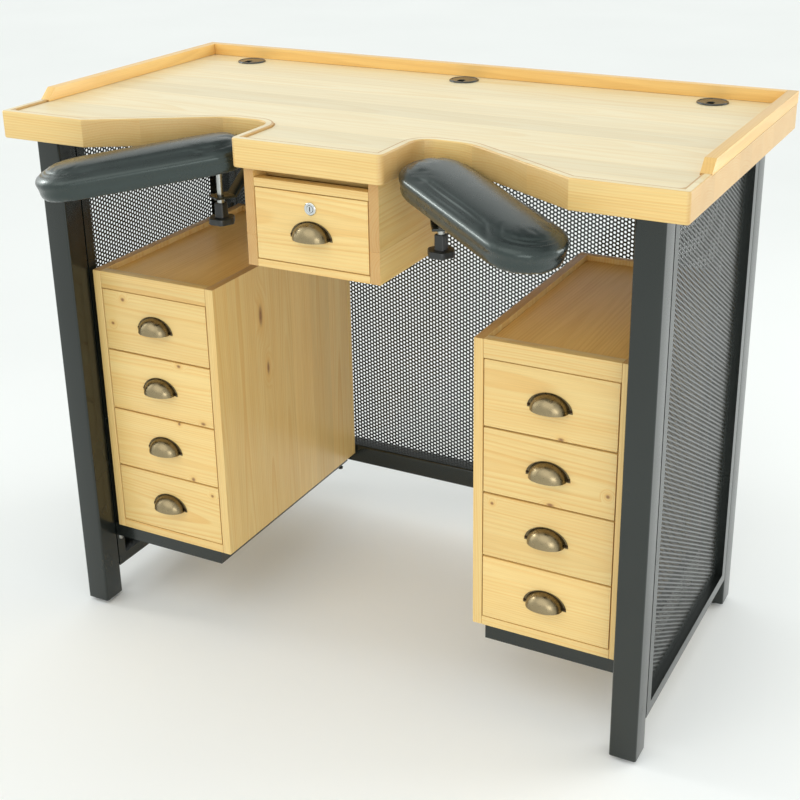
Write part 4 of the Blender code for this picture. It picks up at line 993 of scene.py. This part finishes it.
class BENCH_OT_centre_case(bpy.types.Operator):
    """Build the centre drawer and its case under the tongue of the top"""
    bl_idname = "bench.centre_case"
    bl_label = "Centre drawer"

    def execute(self, context):
        low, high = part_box("centre_drawer_case")
        thick, thin, eased, seam = 0.0175, 0.0125, 0.0008, 0.816
        rail_low, rail_high, rail_deep = 0.8963, 0.910, 0.018
        # A board closes the slot over the rail.
        shut_low, shut_front, shut_back = 0.905, 0.036, 0.048
        bm = timber()
        for i, (a, b) in enumerate(((low.x, low.x + thick), (high.x - thick, high.x))):
            board(bm, (a, low.y, low.z), (b, high.y, seam), "Y", 210 + i, eased=eased)
            board(bm, (a, low.y, seam), (b, high.y, high.z), "Y", 214 + i, eased=eased)
        a, b = low.x + thick + GAP, high.x - thick - GAP
        board(bm, (a, low.y, low.z), (b, high.y, low.z + thin), "X", 220)
        board(bm, (a, low.y, rail_low), (b, low.y + rail_deep, rail_high), "X", 222)
        board(bm, (a, low.y + shut_front, shut_low), (b, low.y + shut_back, high.z - GAP), "X", 225)
        board(bm, (a, high.y - thin, low.z + thin + GAP), (b, high.y, high.z), "X", 223)
        place("centre_case_boards", bm, "bench", "pine_planed_varnished", "centre_drawer_case", "pine")

        low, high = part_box("lock_body")
        middle, deep = (low + high) / 2, high.y - low.y
        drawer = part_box("centre_drawer")
        drop, head, lock_hole = 0.0012, 0.1086, 0.0083
        bm = drawer_boards(*drawer, -drop, head, 230, hole=(middle.z - drawer[0].z - drop, lock_hole))
        place("centre_drawer_boards", bm, "centre_drawer", "pine_planed_varnished", "centre_drawer", "pine")
        bore, barrel, collar, rim = 0.00585, 0.008, 0.0025, 0.0105
        profile = [(bore, 0.0005), (0.0063, 0), (0.0094, 0), (0.0101, 0.0005), (rim, 0.0014), (rim, collar),
                   (barrel, collar), (barrel, deep), (bore, deep)]
        inward = Matrix.Rotation(-math.pi / 2, 4, "X")
        place("lock_bezel", turned(profile, 56, place=Matrix.Translation((0, low.y, middle.z)) @ inward),
              "centre_drawer", "brass_chrome_plated", "lock_body", "chrome", smooth=30)
        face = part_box("lock_plug")[0].y
        wide, tall, soft = 0.0007, 0.0032, 0.0004      # half the keyway's width and height, and its corners
        outline = rounded([(-wide, -tall, soft), (wide, -tall, soft), (wide, tall, soft),
                           (-wide, tall, soft)])
        slot = skin([[(x, face + y, middle.z + z) for x, z in outline] for y in (-0.002, 0.004)])
        place("lock_keyway", cut(from_node("lock_plug"), [slot]), "lock_plug", "brass_chrome_plated",
              "lock_plug", "chrome", smooth=30)
        return {"FINISHED"}


def cup_pull():
    """A pressed cup pull about the middle of its lower back edge: a domed shell in a flange, open below.

    It has two screws. The point attribute rubbed is high where fingers polish the dome."""
    half, tall, reach, wall, flange = 0.038, 0.029, 0.024, 0.0016, 0.0015
    dome, rise, groove = 0.0318, 0.0276, 0.0008
    fullness = 2.2                     # the dome's power; 2 is an ellipsoid
    full = 2 / fullness
    swing = [math.pi / 2 * i / 16 for i in range(16)]
    screw_x, screw_z = 0.0350, 0.0046

    def part_of(share, inward, y):
        """A point of the profile as its half width, its height and its place forward."""
        return ((dome - inward) * share, (rise - inward) * share, y)

    # A groove runs round the foot of the dome, where the press drew the metal in.
    profile = [(half - 0.0006, tall - 0.0006, 0), (half, tall, -0.0005),
               (half - 0.0003, tall - 0.0003, -0.0012), (half - 0.0011, tall - 0.0009, -flange),
               (dome + 0.0022, rise + 0.0012, -flange), (dome + 0.0008, rise + 0.0005, -groove)]
    profile += [part_of(math.cos(a) ** full, 0, -groove - (reach - groove) * math.sin(a) ** full)
                for a in swing]
    profile += [(0, 0, -reach), (0, 0, wall - reach)]
    profile += [part_of(math.cos(a) ** full, wall, (wall - reach) * math.sin(a) ** full)
                for a in reversed(swing)]
    turns = [math.pi * i / 44 for i in range(45)]
    bm = skin([[(w * math.cos(a), y, h * math.sin(a)) for w, h, y in profile] for a in turns])
    rubbed = bm.verts.layers.float.new("rubbed")
    for v in bm.verts:
        from_middle, forward = math.hypot(v.co.x / dome, v.co.z / rise), -v.co.y / reach
        outside = from_middle ** fullness + forward ** fullness > 0.94
        v[rubbed] = min(1.0, max(0.0, (-v.co.y - 0.002) / 0.018)) if outside else 0.0
    head = [(0, 0), (0.0024, 0), (0.0024, 0.0005), (0.0019, 0.0011), (0.0009, 0.0014), (0, 0.0014)]
    plain = set(bm.faces)
    for x in (-screw_x, screw_x):
        spot = Matrix.Translation((x, -flange, screw_z)) @ Matrix.Rotation(math.pi / 2, 4, "X")
        turned(head, 20, into=bm, place=spot)
    for face in bm.faces:
        face.material_index = 0 if face in plain else 1
    mesh = bpy.data.meshes.new("cup_pull")
    bm.to_mesh(mesh)
    bm.free()
    return mesh


class BENCH_OT_pulls(bpy.types.Operator):
    """Press the nine cup pulls"""
    bl_idname = "bench.pulls"
    bl_label = "Cup pulls"

    def execute(self, context):
        shape = cup_pull()
        bodies = {f"pull_{hand}_{n}": f"drawer_{hand}_{n}" for hand, _ in HANDS for n in DRAWERS}
        for node, body in {**bodies, "pull_centre": "centre_drawer"}.items():
            low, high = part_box(node)
            mesh = shape.copy()
            mesh.transform(Matrix.Translation(((low.x + high.x) / 2, high.y, low.z)))
            place(node + "_cup", mesh, body, ("brass_pressed_browned", "steel_screw_blackened"), node,
                  "aged_brass", smooth=50)
        return {"FINISHED"}


def stadium(radius, straight, steps=20):
    """Points round two half circles and the straight sides between, about the inner circle's centre."""
    arc = [-math.pi / 2 + math.pi * i / steps for i in range(steps + 1)]
    along = [straight * i / steps for i in range(1, steps)]
    return ([(straight + radius * math.cos(a), radius * math.sin(a)) for a in arc]
            + [(x, radius) for x in reversed(along)]
            + [(-radius * math.cos(a), -radius * math.sin(a)) for a in arc] + [(x, -radius) for x in along])


def swollen(bm, is_held, cap):
    """The shape remeshed evenly, then blown up by a cloth simulation.

    The points that is_held names are held, and no point moves past the cap."""
    frames, even_size = 20, 0.004
    scene = bpy.context.scene
    mesh = bpy.data.meshes.new("foam")
    bm.to_mesh(mesh)
    bm.free()
    foam = bpy.data.objects.new("foam", mesh)
    scene.collection.objects.link(foam)
    even = foam.modifiers.new("even", "REMESH")
    even.mode, even.voxel_size = "VOXEL", even_size
    bpy.context.view_layer.update()
    foam.data = bpy.data.meshes.new_from_object(foam.evaluated_get(bpy.context.evaluated_depsgraph_get()))
    foam.modifiers.clear()
    points = foam.data.vertices
    held = foam.vertex_groups.new(name="held")
    held.add([v.index for v in points if is_held(v.co)], 1.0, "REPLACE")
    cloth = foam.modifiers.new("cover", "CLOTH")
    cover = cloth.settings
    cover.vertex_group_mass = "held"
    cover.quality, cover.mass = 6, 0.3
    cover.tension_stiffness = cover.compression_stiffness = 15
    cover.bending_stiffness = 0.5
    cover.use_pressure, cover.uniform_pressure_force = True, 4.0
    cover.effector_weights.gravity = 0.0
    cloth.point_cache.frame_start, cloth.point_cache.frame_end = 1, frames
    for number in range(1, frames + 1):
        scene.frame_set(number)
    blown = foam.evaluated_get(bpy.context.evaluated_depsgraph_get()).data.vertices
    moves = [after.co - before.co for before, after in zip(points, blown)]
    foam.modifiers.clear()
    for v, move in zip(points, moves):
        v.co += move * min(1.0, cap / max(move.length, 1e-9))
    scene.frame_set(1)
    smooth = foam.modifiers.new("smooth", "SUBSURF")
    smooth.levels = smooth.render_levels = 1
    bpy.context.view_layer.update()
    result = bpy.data.meshes.new_from_object(foam.evaluated_get(bpy.context.evaluated_depsgraph_get()))
    bpy.data.objects.remove(foam)
    return result


def hump(distance, width):
    """A bell curve, 1 at no distance."""
    return np.exp(-(distance / width) ** 2)


def pad_cover():
    """An arm pad about the middle of its inner end: foam under a stretched cover.

    Its edge stands out along its sides, and the stretched cover throws folds along its shoulder."""
    sizes = settings().sizes
    radius, straight, thick = sizes.pad_width / 2, sizes.pad_length - sizes.pad_width, sizes.pad_thick
    edge, seam = thick * 0.54, 0.003      # height of the sewn border, and how far it is held up and down
    seam_deep, border_half, end_reach = 0.006, 0.011, 0.05
    start = [(0.0065, 0.0), (0.0048, 0.003), (0.0030, 0.010), (0.0020, 0.016), (0.0010, edge - 0.008),
             (0.0005, edge - 0.005), (0.0006, edge - 0.002), (0.0013, edge + 0.001), (0.0026, edge + 0.004),
             (0.0046, edge + 0.0068), (0.0074, edge + 0.0094), (0.0110, edge + 0.0116),
             (0.0160, edge + 0.0140), (0.0215, edge + 0.0168), (0.0260, edge + 0.0188),
             (0.0320, edge + 0.0201), (0.0400, edge + 0.0210), (0.0520, edge + 0.0217)]
    foam = skin([[(x, y, z) for x, y in stadium(radius - inset, straight)] for inset, z in start])

    def sewn(spot):
        """Whether a point is on the board under the pad, or on the border where its cover is sewn."""
        nearest = min(max(spot.x, 0.0), straight)
        outer = math.hypot(spot.x - nearest, spot.y) > radius - seam_deep
        return spot.z < seam or (abs(spot.z - edge) < seam and outer)

    mesh = swollen(foam, sewn, sizes.pad_cap)
    # The sewn border rounds over as the foam presses into it.
    bm = bmesh.new()
    bm.from_mesh(mesh)
    border = [v for v in bm.verts if abs(v.co.z - edge) < border_half]
    for _ in range(16):
        bmesh.ops.smooth_vert(bm, verts=border, factor=0.5, use_axis_x=True, use_axis_y=True,
                              use_axis_z=True)
    bm.to_mesh(mesh)
    bm.free()
    count = len(mesh.vertices)
    spots, outward = np.empty(count * 3), np.empty(count * 3)
    mesh.vertices.foreach_get("co", spots)
    mesh.vertex_normals.foreach_get("vector", outward)
    spots, outward = spots.reshape(-1, 3), outward.reshape(-1, 3)
    x, y, z = spots.T
    nearest = np.clip(x, 0, straight)
    inset = radius - np.hypot(x - nearest, y)
    along = np.where((x >= 0) & (x <= straight), x * np.sign(y), 0)
    around = along + end_reach * np.arctan2(y, x - nearest)
    # The border is a ridge with a dip under it; both fade towards the foot and the middle.
    side = np.clip((z - 0.006) / 0.006, 0, 1) * np.clip((0.03 - inset) / 0.012, 0, 1)
    ridge = 0.0014 * hump(z - edge, 0.007) - 0.0007 * hump(z - edge + 0.012, 0.006)
    # Folds lie in a shallow valley over the border, 7.5 mm apart, in patches.
    valley, fold, apart = 0.0016, 0.00055, 0.0075
    upper = np.clip((z - edge - 0.003) / 0.004, 0, 1)
    band = hump(inset - 0.016, 0.008) * upper
    waves = np.sin(2 * math.pi * inset / apart + 1.3 * np.sin(around * 13) + 0.6 * np.sin(around * 37 + 0.8))
    patches = 0.55 + 0.45 * np.sin(around * 21 + 1.5 * np.sin(around * 9 + 1.0))
    depth = side * ridge + band * (fold * waves * patches - valley)
    mesh.vertices.foreach_set("co", (spots + outward * depth[:, None]).ravel())
    mesh.update()
    return mesh


def post_shape(stud, turn, foot, plate, head):
    """A stud with a collar over the bracket's plate, and a disc under the pad that leans with it."""
    thread, shaft, disc = 0.004, 0.00525, 0.025
    slope = math.tan(settings().sizes.pad_tilt)
    rings = [(0.0032, foot, 0), (thread, foot + 0.0008, 0), (thread, plate + 0.0003, 0),
             (0.0047, plate + 0.0003, 0), (shaft, plate + 0.0009, 0), (shaft, head - 0.003, 1),
             (0.0244, head - 0.003, 1), (disc, head - 0.0024, 1), (disc, head - 0.0005, 1),
             (0.0245, head, 1)]
    angles = [2 * math.pi * i / 48 for i in range(48)]
    return skin([[Vector((stud.x, stud.y, z)) + turn.to_3x3()
                  @ Vector((r * math.cos(a), r * math.sin(a), -lean * r * math.cos(a) * slope))
                  for a in angles] for r, z, lean in rings])


def knob_shape(stud, base, top):
    """A clamp knob: six finger lobes below, a square hub, a steel boss above."""
    bore, lobe, boss, hub = 0.0043, 0.0225, 0.0062, base + 0.0350
    rings = [("round", bore, base), ("lobes", 0.0212, base), ("lobes", 0.0221, base + 0.0006),
             ("lobes", lobe, base + 0.0018), ("lobes", lobe, base + 0.0086), ("lobes", 0.022, base + 0.0100),
             ("lobes", 0.0208, base + 0.0109), ("square", 0.0092, base + 0.0110),
             ("square", 0.0089, base + 0.0118), ("square", 0.0087, base + 0.0335),
             ("square", 0.0083, base + 0.0345), ("square", 0.0074, hub), ("round", boss, hub),
             ("round", boss, top - 0.0006), ("round", 0.0057, top), ("round", bore, top)]
    reach_at = {"round": lambda r, a: r,
                "lobes": lambda r, a: r - 0.0011 * (1 - math.cos(6 * a)),
                "square": lambda r, a: r / (abs(math.cos(a)) ** 5 + abs(math.sin(a)) ** 5) ** 0.2}
    sections = []
    for form, r, z in rings:
        ring = []
        for a in (2 * math.pi * i / 96 for i in range(96)):
            reach = reach_at[form](r, a)
            ring.append((stud.x + reach * math.cos(a), stud.y + reach * math.sin(a), z))
        sections.append(ring)
    knob = skin(sections, around=True)
    for face in knob.faces:
        face.material_index = 1 if face.calc_center_median().z > hub + 0.0001 else 0
    return knob


class BENCH_OT_arm_rests(bpy.types.Operator):
    """Pad the arm rests by simulation and dress their brackets, posts and knobs"""
    bl_idname = "bench.arm_rests"
    bl_label = "Arm rests"

    def execute(self, context):
        sizes = settings().sizes
        plate_thick, edge, clear = 0.004, 0.0006, 0.0003
        cover = pad_cover()
        for hand, side in HANDS:
            low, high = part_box("arm_knob_" + hand)
            stud = Vector(((low.x + high.x) / 2, (low.y + high.y) / 2, 0))
            heading = -sizes.pad_turn if side > 0 else math.pi + sizes.pad_turn
            turn = Matrix.Rotation(heading, 4, "Z")
            mesh = cover.copy()
            mesh.transform(Matrix.Translation(stud + Vector((0, -sizes.pad_behind, sizes.pad_foot))) @ turn
                           @ Matrix.Rotation(sizes.pad_tilt, 4, "Y"))
            pad = place(f"arm_pad_{hand}_cover", mesh, f"arm_rest_{hand}", "vinyl_leatherette_embossed",
                        f"arm_pad_{hand}", "black_leather", smooth=70)

            bracket = from_node("arm_bracket_" + hand)
            sharp = [e for e in bracket.edges if e.calc_face_angle(0) > math.radians(20)]
            bmesh.ops.bevel(bracket, geom=sharp, offset=edge, segments=2, profile=0.6, affect="EDGES")
            place(f"arm_bracket_{hand}_bar", bracket, "bench", "steel_powder_coated",
                  f"arm_bracket_{hand}", "black_steel")

            foot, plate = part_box(f"arm_post_{hand}")[0].z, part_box("arm_bracket_" + hand)[0].z + plate_thick
            head = sizes.pad_foot - clear
            head += sizes.pad_behind * math.sin(sizes.pad_turn) * math.tan(sizes.pad_tilt)
            place(f"arm_post_{hand}_stud", post_shape(stud, turn, foot, plate, head), f"arm_rest_{hand}",
                  "steel_zinc_plated", f"arm_post_{hand}", "black_steel", smooth=30)
            place(f"arm_knob_{hand}_grip", knob_shape(stud, low.z, high.z), f"arm_knob_{hand}",
                  ("abs_moulded", "steel_zinc_plated"), f"arm_knob_{hand}", "black_plastic", smooth=30)
        return {"FINISHED"}


class BENCH_OT_stage(bpy.types.Operator):
    """Set the floor, light and camera"""
    bl_idname = "bench.stage"
    bl_label = "Stage"

    def execute(self, context):
        scene = context.scene
        scene.view_settings.view_transform = "Standard"
        scene.frame_set(1)
        scene.world = self.studio()
        self.set_floor(scene)
        self.set_lamps(scene)
        self.set_camera(scene)
        return {"FINISHED"}

    def studio(self):
        """A white world: even light, and for gloss a sweep, a dimmer ceiling and a soft panel."""
        light = settings().light
        world = bpy.data.worlds.new("studio")
        world.use_nodes = True
        tree = world.node_tree
        tree.nodes.clear()
        path = add(tree, "LightPath")
        direct = add(tree, "Math", {"operation": "MAXIMUM"}, s0=(path, "Is Camera Ray"),
                     s1=(path, "Is Glossy Ray"))
        seen = add(tree, "Math", {"operation": "MAXIMUM"}, s0=direct, s1=(path, "Is Transmission Ray"))
        sight = add(tree, "TexCoord")
        height = add(tree, "SeparateXYZ", Vector=(sight, "Generated"))
        # Gloss meets a white sweep all round, up to about 40 degrees, and over the back a dimmer ceiling.
        above = add(tree, "MapRange", Value=(height, "Z"), From_Min=0.64, From_Max=0.76)
        behind = add(tree, "MapRange", Value=(height, "Y"), From_Min=-0.1, From_Max=0.25)
        ceiling = add(tree, "Math", {"operation": "MULTIPLY"}, s0=above, s1=behind)
        sweep = add(tree, "MapRange", Value=ceiling, To_Min=0.95, To_Max=0.3)
        strength = add(tree, "MapRange", Value=seen, To_Min=light.sky, To_Max=sweep)
        # A soft panel low on the left shows in gloss alone, as a broad streak along the pads.
        panel_way = (-0.95, -0.06, 0.31)
        toward = add(tree, "VectorMath", {"operation": "DOT_PRODUCT"}, s0=(sight, "Generated"), s1=panel_way)
        panel = add(tree, "MapRange", SMOOTH, Value=(toward, "Value"), From_Min=0.84, From_Max=0.99,
                    To_Max=light.panel)
        shine = add(tree, "Math", {"operation": "MULTIPLY_ADD"}, s0=panel, s1=(path, "Is Glossy Ray"),
                    s2=strength)
        back = add(tree, "Background", Color=(0.97, 1.0, 0.985, 1), Strength=shine)
        add(tree, "OutputWorld", Surface=back)
        return world

    def set_floor(self, scene):
        """A wide painted floor, a little uneven in tone."""
        half = 30
        mesh = bpy.data.meshes.new("floor")
        mesh.from_pydata([(-half, -half, 0), (half, -half, 0), (half, half, 0), (-half, half, 0)], [],
                         [(0, 1, 2, 3)])
        floor = bpy.data.objects.new("floor", mesh)
        scene.collection.objects.link(floor)
        material, tree = blank("studio_floor_painted")
        where = add(tree, "TexCoord")
        cloud = add(tree, "TexNoise", Vector=(where, "Object"), Scale=cells(833.3), Detail=2.0)
        tone = add(tree, "MapRange", Value=cloud, **MID_NOISE, To_Min=0.985, To_Max=1.01)
        colour = add(tree, "VectorMath", {"operation": "SCALE"}, s0=tuple(settings().light.floor),
                     Scale=tone)
        surface = add(tree, "BsdfPrincipled", Base_Color=colour, Roughness=0.7, IOR=1.4)
        add(tree, "OutputMaterial", Surface=surface)
        mesh.materials.append(material)

    def set_lamps(self, scene):
        """A broad key from the front, and three soft lamps beside it."""
        light = settings().light
        sun = bpy.data.lights.new("key", "SUN")
        sun.energy, sun.angle, sun.color = light.key, math.radians(55), (1.0, 0.985, 0.96)
        lamp = bpy.data.objects.new("key", sun)
        lamp.rotation_euler = Euler((math.radians(48), 0, math.radians(-12)))
        scene.collection.objects.link(lamp)
        # Each lamp's name, place, the place it is aimed at, width and height, and power
        lamps = (("side", (3.4, 2.4, 1.3), (0.5, 0.0, 0.6), (2.4, 2.2), light.side),
                 ("fill", (1.8, -2.9, 1.0), (0.0, -0.2, 0.1), (1.6, 1.4), light.fill),
                 ("strip", (-2.7, -0.5, 1.95), (0.2, -0.3, 0.93), (0.5, 0.55), light.strip))
        for name, spot, target, size, power in lamps:
            panel = bpy.data.lights.new(name, "AREA")
            panel.shape, panel.energy = "RECTANGLE", power
            panel.size, panel.size_y = size
            panel.spread = math.radians(90)
            lamp = bpy.data.objects.new(name, panel)
            lamp.location = spot
            lamp.rotation_euler = (Vector(target) - lamp.location).to_track_quat("-Z", "Y").to_euler()
            scene.collection.objects.link(lamp)

    def set_camera(self, scene):
        """The photo's camera, with the small shift that its crop leaves."""
        spot = (1.0823, FRONT - 1.7173, 1.4722)
        down, heading, roll = math.radians(21.7468), math.radians(27.3718), math.radians(-0.6705)
        lens = bpy.data.cameras.new("camera")
        lens.sensor_width, lens.lens = 36.0, 61.637
        lens.shift_x, lens.shift_y = -0.02391, -0.0818
        lens.clip_end = 200
        eye = bpy.data.objects.new("camera", lens)
        turn = Euler((math.pi / 2 - down, 0, heading)).to_matrix() @ Matrix.Rotation(roll, 3, "Z")
        eye.matrix_world = Matrix.Translation(spot) @ turn.to_4x4()
        scene.collection.objects.link(eye)
        scene.camera = eye


class BENCH_PT_panel(bpy.types.Panel):
    """Buttons for the bench's pieces"""
    bl_idname = "BENCH_PT_panel"
    bl_label = "Watch repair bench"
    bl_space_type = "VIEW_3D"
    bl_region_type = "UI"
    bl_category = "Bench"

    def draw(self, context):
        for operator in OPERATORS:
            self.layout.operator(operator.bl_idname)
        for group in (settings().colours, settings().sizes, settings().light):
            box = self.layout.box()
            for name in group.__annotations__:
                box.prop(group, name)


# In the order that main calls them
OPERATORS = (BENCH_OT_stage, BENCH_OT_worktop, BENCH_OT_grommets, BENCH_OT_steelwork, BENCH_OT_sheets,
             BENCH_OT_cabinets, BENCH_OT_drawers, BENCH_OT_centre_case, BENCH_OT_pulls, BENCH_OT_arm_rests)
CLASSES = (BenchColours, BenchSizes, BenchLight, BenchSettings, *OPERATORS, BENCH_PT_panel)


def register():
    """Register the classes and the scene's settings."""
    for each in CLASSES:
        bpy.utils.register_class(each)
    bpy.types.Scene.watch_bench = bpy.props.PointerProperty(type=BenchSettings, name="Watch repair bench",
                                                            description="Settings of the bench")


def unregister():
    """Take back what register did."""
    del bpy.types.Scene.watch_bench
    for each in reversed(CLASSES):
        bpy.utils.unregister_class(each)


def main():
    """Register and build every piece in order."""
    register()
    for operator in OPERATORS:
        group, name = operator.bl_idname.split(".")
        getattr(getattr(bpy.ops, group), name)()


if __name__ == "__main__":
    main()
